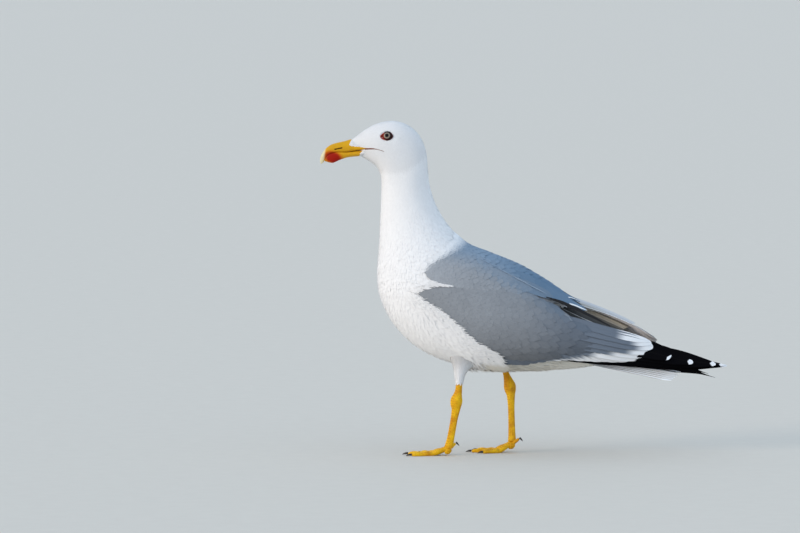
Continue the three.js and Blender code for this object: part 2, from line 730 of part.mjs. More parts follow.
function lidRim(side) {
  const points = Array.from({ length: 14 }, (_, i) => {
    const a = (2 * Math.PI * i) / 14;
    const reach = Math.cos(a) < 0 ? LIDS.front : LIDS.rear;
    const pinch = 1 - 0.16 * Math.abs(Math.cos(a)) ** 6;
    const high = LIDS.half * Math.sin(a) * pinch;
    return onHead([EYE.x + reach * Math.cos(a), EYE.z - 1.4 + high], side, -0.25);
  });
  return cord(points, LIDS.radius, true);
}

// ------------------------------------------------------------------ nodes

const root = new THREE.Group();

function add(name, made, color, roughness = 0.8) {
  const mesh = largest(made).getMesh();
  const geometry = new THREE.BufferGeometry();
  geometry.setAttribute("position", new THREE.BufferAttribute(new Float32Array(mesh.vertProperties), 3));
  geometry.setIndex(new THREE.BufferAttribute(new Uint32Array(mesh.triVerts), 1));
  geometry.computeVertexNormals();
  const node = new THREE.Mesh(geometry, new THREE.MeshStandardMaterial({ color, roughness, metalness: 0 }));
  node.name = name;
  root.add(node);
}

const WHITE = 0xf2f3f5;
const GREY = 0x8d939c;
const YELLOW = 0xe0a823;
const BILL_YELLOW = 0xf0b62a;
const CLAW = 0x2b2622;
const EYE_COLOUR = 0xd9d2b4;

// Bill and eyes, each standing in a socket of the head.
const upperBill = bill(UPPER_BILL);
const lowerBill = bill(LOWER_BILL);
const sockets = [bill(UPPER_BILL, GAP), bill(LOWER_BILL, GAP)];
const rims = [];
for (const [name, side] of Object.entries(SIDES)) {
  add(`eye_${name}`, ball(eyeCentre(side), EYE.radius), EYE_COLOUR, 0.15);
  sockets.push(ball(eyeCentre(side), EYE.radius + GAP));
  sockets.push(cord(MOUTH_CORNER.map((p) => onHead(p, side, 0.1)), 0.7));
  rims.push(lidRim(side));
}
const nostrils = [LEFT, RIGHT].map((side) => {
  const ends = [NOSTRIL.from, NOSTRIL.to].map(([x, z]) => new THREE.Vector3(x, side * NOSTRIL.out, z));
  return cord(ends, NOSTRIL.halfHeight, false, 6);
});
add("bill_upper", upperBill.subtract(union(nostrils)), BILL_YELLOW, 0.4);
add("bill_lower", lowerBill, BILL_YELLOW, 0.4);
const bareHead = bodyLength(0, HEAD_END - SEAM, 14);
add("head", union([bareHead, ...rims]).subtract(union(sockets)), WHITE);
add("neck", bodyLength(HEAD_END + SEAM, NECK_END - SEAM, 6), WHITE);

// The saddle lies over the wings, and both lie over the torso.
add("mantle", union(saddlePieces()), GREY);
const underSaddle = union(saddlePieces(GAP));
let torso = bodyLength(NECK_END + SEAM, BODY_SECTIONS.length - 1, 14).subtract(underSaddle);
for (const name of ["left", "right"]) {
  add(`wing_${name}`, union(wingPieces(name)).subtract(underSaddle), GREY);
  torso = torso.subtract(union(wingPieces(name, GAP)));
}
const tailSpace = union(tailPieces(GAP));
torso = torso.subtract(tailSpace);
add("tail", union(tailPieces()), WHITE);

for (const [name, side] of Object.entries(SIDES)) {
  const { thigh, shank, foot } = LEGS[name];
  const shankSpace = limb(shank, { rings: 11, around: 9, grow: GAP });
  add(`thigh_${name}`, limb(thigh, { rings: 7, around: 12 }).subtract(shankSpace), WHITE);
  torso = torso.subtract(limb(thigh, { rings: 7, around: 12, grow: GAP }));
  add(`shank_${name}`, limb(shank, { rings: 11, around: 9 }), YELLOW, 0.55);
  const toes = Object.values(TOES).map(([bearing, length]) => toe(name, bearing, length));
  const webs = [web(name, TOES.inner, TOES.middle), web(name, TOES.middle, TOES.outer)];
  const heel = ball(new THREE.Vector3(...foot.heel), 5.4, 10);
  let paw = union([...toes, ...webs, heel, hallux(name)]);
  paw = paw.subtract(shankSpace).trimByPlane([0, 0, 1], 0);
  const claws = Object.entries(TOES).map(([toeName, shape]) => [toeName, toeClaw(name, shape)]);
  claws.push(["hallux", halluxClaw(name)]);
  for (const [toeName, made] of claws) {
    add(`claw_${name}_${toeName}`, made.trimByPlane([0, 0, 1], 0.02), CLAW, 0.4);
  }
  add(`foot_${name}`, paw, YELLOW, 0.55);
}
add("torso", torso, WHITE);

export default root;
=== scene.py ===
import bmesh
import bpy
import math
import numpy as np
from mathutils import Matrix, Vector


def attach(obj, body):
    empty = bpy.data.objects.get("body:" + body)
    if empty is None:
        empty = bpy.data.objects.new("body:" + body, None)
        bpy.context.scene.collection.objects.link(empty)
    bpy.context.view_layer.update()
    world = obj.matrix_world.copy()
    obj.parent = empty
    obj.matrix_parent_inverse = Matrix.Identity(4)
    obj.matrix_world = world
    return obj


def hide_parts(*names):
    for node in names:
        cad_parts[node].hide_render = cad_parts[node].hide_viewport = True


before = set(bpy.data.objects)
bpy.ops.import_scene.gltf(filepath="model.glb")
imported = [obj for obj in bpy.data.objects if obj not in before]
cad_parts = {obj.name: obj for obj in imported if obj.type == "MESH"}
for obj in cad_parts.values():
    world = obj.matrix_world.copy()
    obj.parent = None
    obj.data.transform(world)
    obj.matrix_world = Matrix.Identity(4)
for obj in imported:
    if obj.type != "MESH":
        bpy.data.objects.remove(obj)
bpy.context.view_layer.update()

MM = 0.001
RNG = np.random.default_rng(20261)

# ------------------------------------------------------------------ sizes, in millimetres

# [upper x, upper z, lower x, lower z, half width, how much wider it is below the middle]
BODY_SECTIONS = np.array([
    [-224, 409, -213.5, 388.5, 7.6, 0], [-215, 415.8, -207.5, 385, 12.4, 0.05],
    [-203, 424.3, -199, 380, 17.4, 0.1], [-187, 431.3, -191, 373, 21.6, 0.12],
    [-168, 433.4, -186.3, 362.5, 24.2, 0.1], [-150, 427.6, -185.5, 350.5, 25.6, 0.08],
    [-135.6, 414.4, -185.7, 337, 26.2, 0.04], [-127.2, 394.5, -186.2, 321, 27, 0],
    [-124.6, 370, -187, 303, 28.6, 0], [-121.8, 347, -187.7, 284, 31.4, 0], [-113, 322, -189, 262, 37, 0],
    [-97, 296.5, -190.8, 237, 46, 0], [-73, 274, -187.6, 206, 55.5, 0], [-40, 260, -170, 169.5, 61.5, 0],
    [-3, 243, -137, 137.5, 62.5, 0.03], [32, 221, -90, 117, 58, 0.06], [61, 190, -38, 108.8, 47, 0.08],
    [84, 162, 14, 108.4, 34, 0.08], [102, 143, 60, 110.5, 23, 0.05], [112, 133, 92, 114.5, 12, 0],
])
CLOAK_SECTIONS = np.array([
    [-97, 296.5, -190.8, 237, 46.5, 0], [-73, 274.8, -187.6, 206, 57.5, 0],
    [-40, 261, -170, 169.5, 65.5, 0], [-3, 245.3, -137, 136.5, 68.5, 0.03],
    [32, 224.6, -92, 114.5, 68, 0.08], [66, 201.5, -38, 106, 63, 0.14], [99, 188, 20, 104, 54.5, 0.2],
    [129, 175.5, 75, 106, 43.5, 0.24], [153, 163.5, 118, 109, 33, 0.24], [172, 151, 152, 113, 24, 0.2],
    [190, 141, 178, 117, 16, 0.1],
])

LEFT, RIGHT = -1, 1
SIDES = {"left": LEFT, "right": RIGHT}


def ease(x):
    f = np.clip(x, 0.0, 1.0)
    return f * f * (3 - 2 * f)


def mix(a, b, f):
    return a + (b - a) * f


def unit(v):
    return v / np.maximum(np.linalg.norm(v, axis=-1, keepdims=True), 1e-12)


def along(rows, t):
    """A smooth curve through equally spaced rows, carried on straight past its ends."""
    rows, t = np.asarray(rows, float), np.asarray(t, float)
    last = len(rows) - 1
    tc = np.clip(t, 0, last)
    i = np.clip(np.floor(tc).astype(int), 0, last - 1)
    f = (tc - i)[..., None]
    a, b, c, d = (rows[np.clip(i + k, 0, last)] for k in (-1, 0, 1, 2))
    bend, twist = 2 * a - 5 * b + 4 * c - d, 3 * b - a - 3 * c + d
    value = 0.5 * (2 * b + (c - a) * f + bend * f**2 + twist * f**3)
    slope = 0.5 * ((c - a) + 2 * bend * f + 3 * twist * f**2)
    return value + slope * (t - tc)[..., None]


def turns(count):
    """Equally spaced angles, once round."""
    return np.linspace(0, 2 * np.pi, count, endpoint=False)


def grid(s, u):
    return np.meshgrid(s, u, indexing="ij")


class Lofted:
    """A surface addressed by a length t and an angle a; subclasses give bare(t, a)."""
    STEP, MARGIN = 0.02, 0.03

    def moves(self, t, a, step):
        """How far the surface goes in two steps along it, and in two steps round it."""
        return (self.bare(t + step, a) - self.bare(t - step, a),
                self.bare(t, a + step) - self.bare(t, a - step))

    def slopes(self, t, a, step=0.01):
        return tuple(move / (2 * step) for move in self.moves(t, a, step))

    def normal(self, t, a):
        run, turn = self.moves(np.clip(t, self.MARGIN, self.last - self.MARGIN), a, self.STEP)
        return unit(self.sign * np.cross(turn, run))

    def point(self, t, a, out=0.0):
        return self.bare(t, a) + self.normal(t, a) * np.asarray(out, float)[..., None]

    def places(self, rows, around):
        """Lengths and angles of rings all along the surface."""
        return grid(np.linspace(0, self.last, rows), turns(around))

    def tube(self, rows, around, out=0.0):
        t, a = self.places(rows, around)
        return closed_tube(self.point(t, a, out(t, a) if callable(out) else out))


class Slanted(Lofted):
    """Slanted sections: each has two ends in the side view, a half width, and how full it is below."""
    sign = -1.0

    def __init__(self, rows):
        self.rows = np.array(rows, float)
        self.last = len(rows) - 1

    def sections(self, t):
        return np.moveaxis(along(self.rows, t), -1, 0)

    def bare(self, t, a):
        ux, uz, lx, lz, half, fuller = self.sections(t)
        c = np.cos(a)
        x = (ux + lx) / 2 + (ux - lx) / 2 * c
        z = (uz + lz) / 2 + (uz - lz) / 2 * c
        return np.stack([x, half * np.sin(a) * (1 - fuller * c), z], -1)

    def locate(self, x, z, side=RIGHT):
        """The section and angle of points in the side view, on one side of the bird."""
        x, z = np.asarray(x, float), np.asarray(z, float)
        low, high = np.zeros(x.shape), np.full(x.shape, float(self.last))
        for _ in range(36):
            t = (low + high) / 2
            ux, uz, lx, lz = self.sections(t)[:4]
            past = (x - ux) * (uz - lz) - (z - uz) * (ux - lx) > 0
            low, high = np.where(past, t, low), np.where(past, high, t)
        t = (low + high) / 2
        ux, uz, lx, lz = self.sections(t)[:4]
        down = ((ux - x) * (ux - lx) + (uz - z) * (uz - lz)) / ((ux - lx) ** 2 + (uz - lz) ** 2)
        return t, side * np.arccos(np.clip(1 - 2 * down, -1, 1))


class Mandible(Slanted):
    """A half of the bill, fuller on its inner side, where the two halves meet."""
    sign = 1.0
    FULLNESS, REACH = 0.55, 1.6

    def __init__(self, rows, inner):
        super().__init__(rows)
        self.inner = inner

    def bare(self, t, a):
        point = super().bare(t, a)
        full = 1 - self.FULLNESS * ease((1 + self.inner * np.cos(a)) / self.REACH)
        point[..., 1] *= np.maximum(np.abs(np.sin(a)), 1e-4) ** (full - 1)
        return point


class Limb(Lofted):
    """A round form along a path. Its rows are x, y, z, half depth, half width."""
    sign = 1.0
    SPAN = 0.05

    def __init__(self, rows):
        self.rows = np.array(rows, float)
        self.last = len(rows) - 1

    def bare(self, t, a):
        r = along(self.rows, t)
        inner = np.clip(np.asarray(t, float), self.SPAN, self.last - self.SPAN)
        ahead, behind = (along(self.rows, inner + step)[..., :3] for step in (self.SPAN, -self.SPAN))
        tangent = unit(ahead - behind)
        sideways = unit(np.array([0, 1.0, 0]) - tangent * tangent[..., 1:2])
        forward = np.cross(sideways, tangent)
        return (r[..., :3] + forward * (r[..., 3] * np.cos(a))[..., None]
                + sideways * (r[..., 4] * np.sin(a))[..., None])


body = Slanted(BODY_SECTIONS)
cloak = Slanted(CLOAK_SECTIONS)

# ------------------------------------------------------------------ meshes


def link(name, data):
    obj = bpy.data.objects.new(name, data)
    bpy.context.scene.collection.objects.link(obj)
    return obj


def make_mesh(name, points, faces, smooth=True):
    """points in mm, faces an (n, 3 or 4) integer array or a list of such arrays."""
    mesh = bpy.data.meshes.new(name)
    groups = faces if isinstance(faces, list) else [faces]
    groups = [np.asarray(g, np.int32) for g in groups if len(g)]
    points = np.asarray(points, np.float32).reshape(-1, 3) * MM
    loops = np.concatenate([g.ravel() for g in groups])
    sizes = np.concatenate([np.full(len(g), g.shape[1], np.int32) for g in groups])
    starts = np.concatenate([[0], np.cumsum(sizes)[:-1]]).astype(np.int32)
    mesh.vertices.add(len(points))
    mesh.vertices.foreach_set("co", points.ravel())
    mesh.loops.add(len(loops))
    mesh.loops.foreach_set("vertex_index", loops)
    mesh.polygons.add(len(sizes))
    mesh.polygons.foreach_set("loop_start", starts)
    mesh.polygons.foreach_set("use_smooth", np.full(len(sizes), smooth))
    mesh.update(calc_edges=True)
    mesh.validate()
    return link(name, mesh)


# the kind of attribute and its field, by the number of values at each point
ATTRIBUTES = {1: ("FLOAT", "value"), 3: ("FLOAT_VECTOR", "vector"), 4: ("FLOAT_COLOR", "color")}


def add_attribute(obj, name, values):
    values = np.asarray(values, np.float32)
    kind, field = ATTRIBUTES[values.size // len(values)]
    obj.data.attributes.new(name, kind, "POINT").data.foreach_set(field, values.ravel())


def add_map(obj, places):
    """The map OFBake, from a place for each point."""
    index = np.empty(len(obj.data.loops), np.int32)
    obj.data.loops.foreach_get("vertex_index", index)
    places = np.asarray(places, np.float32)[index]
    obj.data.uv_layers.new(name="OFBake").data.foreach_set("uv", places.ravel())


def opaque(colours):
    return np.concatenate([colours, np.ones((len(colours), 1))], 1)


def grid_faces(rows, columns, wrap=False):
    i, j = grid(np.arange(rows - 1), np.arange(columns if wrap else columns - 1))
    here, there = i * columns, (i + 1) * columns
    k = (j + 1) % columns
    return np.stack([here + j, here + k, there + k, there + j], -1).reshape(-1, 4)


def closed_tube(rings):
    """The points, sides and end caps of a tube through rings, an array (rows, around, 3)."""
    rows, around = rings.shape[:2]
    j = np.arange(around)
    k = (j + 1) % around
    last, centre = (rows - 1) * around, np.full(around, rows * around)
    caps = np.concatenate([np.stack([k, j, centre], -1), np.stack([last + j, last + k, centre + 1], -1)])
    points = np.concatenate([rings.reshape(-1, 3), rings[0].mean(0)[None], rings[-1].mean(0)[None]])
    return points, grid_faces(rows, around, wrap=True), caps


def with_ends(values, ends=(0, 0)):
    """Values of a tube's rings, with those of its two end points."""
    return np.concatenate([values, ends])


def turn_out(obj):
    """Faces of closed forms look outwards."""
    edit = bmesh.new()
    edit.from_mesh(obj.data)
    bmesh.ops.recalc_face_normals(edit, faces=edit.faces)
    edit.to_mesh(obj.data)
    edit.free()
    return obj


def join(name, tubes):
    """One mesh of several closed tubes."""
    points, quads, caps = zip(*tubes)
    starts = np.cumsum([0] + [len(p) for p in points[:-1]])
    quads, caps = (np.concatenate([f + start for f, start in zip(faces, starts)]) for faces in (quads, caps))
    return turn_out(make_mesh(name, np.concatenate(points), [quads, caps]))


def plate(name, face, rows, columns):
    """A closed plate: face(u, v, outer) gives its two skins, joined round the edge."""
    u, v = grid(np.linspace(0, 1, rows + 1), np.linspace(0, 1, columns + 1))
    quads = grid_faces(rows + 1, columns + 1)
    n = u.size
    index = np.arange(n).reshape(u.shape)
    edge = np.concatenate([index[0, :-1], index[:-1, -1], index[-1, :0:-1], index[:0:-1, 0]])
    following = np.roll(edge, -1)
    sides = np.stack([edge, following, following + n, edge + n], -1)
    skins = np.stack([face(u, v, True), face(u, v, False)])
    return turn_out(make_mesh(name, skins, [quads, quads[:, ::-1] + n, sides]))


def vertex_places(obj):
    points = np.empty(len(obj.data.vertices) * 3, np.float32)
    obj.data.vertices.foreach_get("co", points)
    return points.reshape(-1, 3) / MM


def remesh(obj, voxel):
    """Melts the object's mesh into one skin."""
    change = obj.modifiers.new("melt", "REMESH")
    change.mode = "VOXEL"
    change.voxel_size = voxel * MM
    change.use_smooth_shade = True
    graph = bpy.context.evaluated_depsgraph_get()
    mesh = bpy.data.meshes.new_from_object(obj.evaluated_get(graph))
    obj.modifiers.clear()
    obj.data = mesh


# ------------------------------------------------------------------ feathers


class Feathers:
    """One piece of many vanes. Each vane is a closed lens of two grids that share their outline."""
    ROOT_TAPER, TIP_TAPER = 6, 4

    def __init__(self, name, rows, columns, thick=0.15, soften=0.85):
        self.name, self.rows, self.columns, self.thick, self.soften = name, rows, columns, thick, soften
        self.vanes = []

    def add(self, points, normals, across, from_tip, chance, mark, bake):
        """points and normals (n, rows+1, columns+1, 3); the rest per vane or per point, in mm."""
        shape = points.shape[:3]
        chance = np.broadcast_to(np.asarray(chance, float).reshape(-1, 1, 1), shape)
        mark = np.broadcast_to(np.asarray(mark, float).reshape(-1, 1, 1, 3), shape + (3,))
        self.vanes.append((points, normals, np.stack([across, from_tip, chance], -1), mark, bake))

    def build(self):
        top, normals, *values = (np.concatenate(group) for group in zip(*self.vanes))
        n, rows, columns = top.shape[:3]
        s, u = np.linspace(0, 1, rows)[:, None], np.linspace(-1, 1, columns)[None, :]
        lens = self.thick * (1 - u**2) * np.minimum(1, self.ROOT_TAPER * s)
        lens = lens * np.minimum(1, self.TIP_TAPER * (1 - s))
        under = top - normals * lens[None, ..., None]
        count = rows * columns
        face = grid_faces(rows, columns)[None] + (np.arange(n) * count)[:, None, None]
        upper, lower = face[..., ::-1].reshape(-1, 4), face.reshape(-1, 4) + n * count
        obj = make_mesh(self.name, np.stack([top, under]), [upper, lower])
        feather, mark, bake = (np.tile(v.reshape(-1, v.shape[-1]), (2, 1)) for v in values)
        add_attribute(obj, "feather", feather)
        add_attribute(obj, "mark", opaque(mark))
        add_attribute(obj, "under", np.repeat([0.0, 1.0], n * count))
        add_map(obj, bake)
        # the vanes shade partly as the smooth plumage that they lie in
        bent = np.cross(np.gradient(top, axis=2), np.gradient(top, axis=1))
        size = np.linalg.norm(bent, axis=-1, keepdims=True)
        bent = np.where(size > 1e-6, bent / np.maximum(size, 1e-9), normals)
        bent = bent * np.where((bent * normals).sum(-1, keepdims=True) < 0, -1.0, 1.0)
        shade = unit(mix(bent, normals, self.soften)).reshape(-1, 3)
        obj.data.normals_split_custom_set_from_vertices(np.concatenate([shade, -shade]).astype(np.float32))
        return obj


def outline(s, tip, root, point):
    """The share of its full width that a vane has along its length."""
    rise = mix(root, 1.0, ease(s / 0.35))
    over = np.clip((s - tip) / (1 - tip), 0, 1)
    return rise * np.maximum(1 - over**point, 0) ** (1 / point)


SMALL_ROOT = 0.45
# parts of the map, as left, bottom, width and height, and the size that a small vane takes of it
WHOLE_MAP, LEFT_MAP, RIGHT_MAP = (0.02, 0.02, 0.96, 0.96), (0.02, 0.02, 0.46, 0.9), (0.52, 0.02, 0.46, 0.9)
PATCH = 0.003


def cover(piece, surface, t, a, length, width, mark, rise, lie=None, camber=0.05, curl=0.0, spin=0.12,
          tip=0.3, point=1.5, wave=0.0, region=WHOLE_MAP):
    """Small vanes set on a surface at (t, a). Each lies along it, from rise[0] to rise[1] mm over it."""
    n = len(t)
    length, width, curl, low, high = (
        np.broadcast_to(v, n)[:, None, None] for v in (length, width, curl, *rise))
    along_t, along_a = surface.slopes(t, a)
    normal = surface.normal(t, a)
    ahead = along_t if lie is None else lie(surface.bare(t, a))
    ahead = unit(ahead - normal * (ahead * normal).sum(-1, keepdims=True))
    turn = (RNG.normal(0, 1, n) * spin)[:, None]
    ahead = ahead * np.cos(turn) + np.cross(normal, ahead) * np.sin(turn)
    aside = np.cross(normal, ahead)
    s, u = np.linspace(0, 1, piece.rows + 1), np.linspace(-1, 1, piece.columns + 1)
    widths = outline(s, tip, SMALL_ROOT, point)[None, :, None]
    ss, uu = (v[None] for v in grid(s, u))
    across = uu * widths * width / 2
    drift = (RNG.normal(0, 1, n) * wave)[:, None, None] * ss**2 * length
    # the steps in t and a that move a point so far ahead and aside
    ahead, aside, along_t, along_a = (v[:, None, None] for v in (ahead, aside, along_t, along_a))
    move = (ss * length)[..., None] * ahead + (across + drift)[..., None] * aside
    pairs = (along_t, along_t), (along_t, along_a), (along_a, along_a)
    g11, g12, g22 = ((v * w).sum(-1) for v, w in pairs)
    g22 = g22 + 1e-9
    det = g11 * g22 - g12**2 + 1e-9
    mt, ma = (move * along_t).sum(-1), (move * along_a).sum(-1)
    tt = t[:, None, None] + (g22 * mt - g12 * ma) / det
    aa = a[:, None, None] + (g11 * ma - g12 * mt) / det
    height = mix(low, high, ss) - camber * np.abs(uu) ** 2 * widths * width / 2 + curl * ss**3
    u0, v0, du, dv = region
    home = np.stack([u0 + du * t / surface.last, v0 + dv * (np.mod(a, 2 * np.pi) / (2 * np.pi))], -1)
    bake = home[:, None, None] + np.stack([(uu / 2) * PATCH, (ss - 0.5) * PATCH], -1)
    points, normals = surface.point(tt, aa, height), surface.normal(tt, aa)
    piece.add(points, normals, across, (1 - ss) * length, RNG.random(n), mark, bake)


def everywhere(t, p):
    return np.ones(np.shape(t), bool)


# points tried for each one wanted, and the share of the gap's square that kept points are apart
TRIES, CLOSEST = 5, 0.72


def thin_out(points, gaps):
    """The indices of points that lie clear of all the kept ones before them, by their own gap."""
    keys = np.floor(points / float(gaps.max())).astype(int).tolist()
    neighbours = [(x, y, z) for x in (-1, 0, 1) for y in (-1, 0, 1) for z in (-1, 0, 1)]
    table, kept = {}, []
    for m, ((x, y, z), gap, (kx, ky, kz)) in enumerate(zip(points.tolist(), gaps.tolist(), keys)):
        cells = (table.get((kx + i, ky + j, kz + k), ()) for i, j, k in neighbours)
        for qx, qy, qz in (q for cell in cells for q in cell):
            dx, dy, dz = x - qx, y - qy, z - qz
            if dx * dx + dy * dy + dz * dz < gap * gap * CLOSEST:
                break
        else:
            table.setdefault((kx, ky, kz), []).append((x, y, z))
            kept.append(m)
    return kept


def scatter(surface, spacing, keep=everywhere, t_range=None, a_range=(0, 2 * np.pi), cells=(220, 140)):
    """Points spread evenly over the part of a surface that keep(t, point) takes, spacing mm apart."""
    t0, t1 = t_range or (0, surface.last)
    tc, ac = np.linspace(t0, t1, cells[0] + 1), np.linspace(*a_range, cells[1] + 1)
    tm, am = grid((tc[1:] + tc[:-1]) / 2, (ac[1:] + ac[:-1]) / 2)
    pt, pa = surface.slopes(tm, am)
    area = np.linalg.norm(np.cross(pt, pa), axis=-1) * (tc[1] - tc[0]) * (ac[1] - ac[0])
    where = surface.bare(tm, am)
    expected = (area / spacing(tm, where)**2 * keep(tm, where)).ravel()
    total = int(expected.sum() * TRIES)
    pick = RNG.choice(len(expected), size=total, p=expected / expected.sum())
    i, j = np.unravel_index(pick, tm.shape)
    t = tc[i] + (tc[i + 1] - tc[i]) * RNG.random(total)
    a = ac[j] + (ac[j + 1] - ac[j]) * RNG.random(total)
    p = surface.bare(t, a)
    kept = thin_out(p, spacing(t, p))
    t, a, p = t[kept], a[kept], p[kept]
    good = keep(t, p)
    return t[good], a[good], p[good]


UNMARKED = (1, 1, 1)
# how much closer the rows of a long vane lie at its tip, how round its camber is, and how much facing counts
TIP_STEPS, CAMBER_ROUND, FACING = 1.35, 1.6, 2.0


def long_vane(piece, points, normals, half, bake, mark=UNMARKED, tilt=0.0, tip=0.6, root=0.3, point=1.8,
              lean=0.0, camber=0.05, chance=None, facing=None):
    """One large vane along a path of points and normals given at equal steps, lit as if it faced one way."""
    s = 1 - (1 - np.linspace(0, 1, piece.rows + 1)) ** TIP_STEPS
    u = np.linspace(-1, 1, piece.columns + 1)
    last = len(points) - 1
    at = s * last
    p = along(points, at)
    tangent = unit(along(points, np.minimum(at + 0.05, last)) - along(points, np.maximum(at - 0.05, 0)))
    across = unit(np.cross(unit(along(normals, at)), tangent))
    side = across * np.cos(tilt) + unit(np.cross(tangent, across)) * np.sin(tilt)
    lift = unit(np.cross(tangent, side))
    widths = (outline(s, tip, root, point) * half)[:, None]
    place = u[None] * widths * (1 + lean * np.sign(u)[None])
    drop = camber * np.abs(u)[None] ** CAMBER_ROUND * widths
    points = p[:, None] + side[:, None] * place[..., None] - lift[:, None] * drop[..., None]
    length = float(np.linalg.norm(np.diff(p, axis=0), axis=-1).sum())
    from_tip = np.broadcast_to(((1 - s) * length)[:, None], place.shape)
    shown = lift if facing is None else unit(lift + FACING * np.array(facing))
    normals = np.broadcast_to(shown[:, None], points.shape)
    u0, v0, du, dv = bake
    uv = np.stack(np.broadcast_arrays(u0 + du * (u[None] + 1) / 2, v0 + dv * s[:, None]), -1)
    chance = RNG.random() if chance is None else chance
    piece.add(points[None], normals[None], place[None], from_tip[None], chance, mark, uv[None])


def bake_slot(index, total):
    """The index-th of total equal cells of a square map, with a margin."""
    columns = int(math.ceil(math.sqrt(total * 2)))
    rows = int(math.ceil(total / columns))
    i, j = index % columns, index // columns
    return (i + 0.08) / columns, (j + 0.05) / rows, 0.84 / columns, 0.9 / rows


def cloak_path(side, root, tip, root_out, tip_out, steps=9, bow=0.0):
    """A path over the cloak that is straight in the side view, or bowed by bow mm at its middle."""
    s = np.linspace(0, 1, steps)
    x, z = mix(root[0], tip[0], s), mix(root[1], tip[1], s) + bow * 4 * s * (1 - s)
    t, a = cloak.locate(x, z, side)
    return cloak.point(t, a, mix(root_out, tip_out, ease(s * 1.6))), cloak.normal(t, a)


def arch(values, steps=13):
    """A smooth path through three vectors."""
    s = np.linspace(0, 1, steps)[:, None]
    a, b, c = (np.asarray(v, float) for v in values)
    return 2 * (s - 0.5) * (s - 1) * a + 4 * s * (1 - s) * b + 2 * s * (s - 0.5) * c

# ------------------------------------------------------------------ materials


class Paint:
    """A small writer of node trees. Its methods return sockets, and take sockets or plain values."""

    def __init__(self, name):
        self.material = bpy.data.materials.new(name)
        self.material.use_nodes = True
        self.tree = self.material.node_tree
        self.tree.nodes.clear()
        out = self.tree.nodes.new("ShaderNodeOutputMaterial")
        self.shader = self.tree.nodes.new("ShaderNodeBsdfPrincipled")
        self.tree.links.new(self.shader.outputs[0], out.inputs[0])

    def plug(self, socket, value):
        if isinstance(value, bpy.types.NodeSocket):
            self.tree.links.new(value, socket)
        elif value is not None:
            size = len(socket.default_value) if hasattr(socket.default_value, "__len__") else 0
            socket.default_value = (*value, 1.0) if size == 4 and len(value) == 3 else value

    def node(self, kind, inputs=(), output=0, **settings):
        """One output of a new node. Its inputs go by name or number."""
        made = self.tree.nodes.new("ShaderNode" + kind)
        for key, value in settings.items():
            setattr(made, key, value)
        for key, value in dict(inputs).items():
            self.plug(made.inputs[key], value)
        return made.outputs[output]

    def math(self, operation, *values):
        return self.node("Math", enumerate(values), operation=operation)

    def times(self, a, b):
        return self.math("MULTIPLY", a, b)

    def fused(self, a, b, c):
        """a times b, plus c."""
        return self.math("MULTIPLY_ADD", a, b, c)

    def attribute(self, name, output="Vector"):
        return self.node("Attribute", output=output, attribute_name=name)

    def parts(self, vector):
        return self.node("SeparateXYZ", {0: vector}).node.outputs

    def grey(self, tone):
        return self.node("CombineColor", enumerate((tone, tone, tone)))

    def place(self):
        return self.node("TexCoord", output="Object")

    def noise(self, scale, detail=3.0, vector=None):
        inputs = {"Vector": self.place() if vector is None else vector, "Scale": scale, "Detail": detail}
        return self.node("TexNoise", {**inputs, "Roughness": 0.55}, "Fac")

    def cells(self, scale, vector, feature):
        return self.node("TexVoronoi", {"Vector": vector, "Scale": scale}, "Distance", feature=feature)

    def smooth(self, value, low, high, start=0.0, end=1.0):
        values = enumerate((value, low, high, start, end))
        return self.node("MapRange", values, interpolation_type="SMOOTHSTEP")

    def blend(self, share, a, b, how="MIX"):
        return self.node("Mix", {0: share, 6: a, 7: b}, 2, data_type="RGBA", blend_type=how)

    def shaded(self, color, tone):
        return self.blend(1.0, color, self.grey(tone), "MULTIPLY")

    def stretch(self, vector, scale):
        return self.node("VectorMath", enumerate((vector, scale)), operation="MULTIPLY")

    def bump(self, height, strength, distance):
        return self.node("Bump", {"Strength": strength, "Distance": distance, "Height": height})

    def finish(self, color, roughness, normal=None, gloss=None, **more):
        values = {"Base Color": color, "Roughness": roughness, "Normal": normal, "Specular IOR Level": gloss}
        for key, value in {**values, **more}.items():
            self.plug(self.shader.inputs[key.replace("_", " ")], value)
        return self.material


def barbs(p, period, slope):
    """Distances from a vane's shaft and tip, its chance, its fine slanting lines and its shaft."""
    across, from_tip, chance = p.parts(p.attribute("feather"))
    away = p.math("ABSOLUTE", across)
    phase = p.fused(p.noise(260.0, 2.0), 0.6, p.fused(away, slope, from_tip))
    line = p.math("SINE", p.times(phase, 2 * math.pi / period))
    return away, from_tip, chance, line, p.smooth(away, 0.16, 0.42, 1.0, 0.0)


def plumage(name, period, contrast, dark_edge, roughness, bump, sheen):
    """Small feathers, in the colour of their mark."""
    p = Paint(name)
    _, from_tip, chance, line, shaft = barbs(p, period, 1.15)
    tone = p.fused(chance, contrast, 1.0 - contrast / 2)
    tone = p.fused(p.noise(45.0), 0.04, p.math("SUBTRACT", tone, 0.02))
    tone = p.fused(shaft, -0.02, p.fused(line, 0.012, tone))
    if dark_edge:
        tone = p.fused(p.smooth(from_tip, 0.0, 2.2, 1.0, 0.0), dark_edge, tone)
    color = p.shaded(p.attribute("mark", "Color"), tone)
    relief = p.bump(p.fused(shaft, 1.2, line), bump, 0.00012)
    return p.finish(color, roughness, relief, 0.25, Sheen_Weight=sheen)


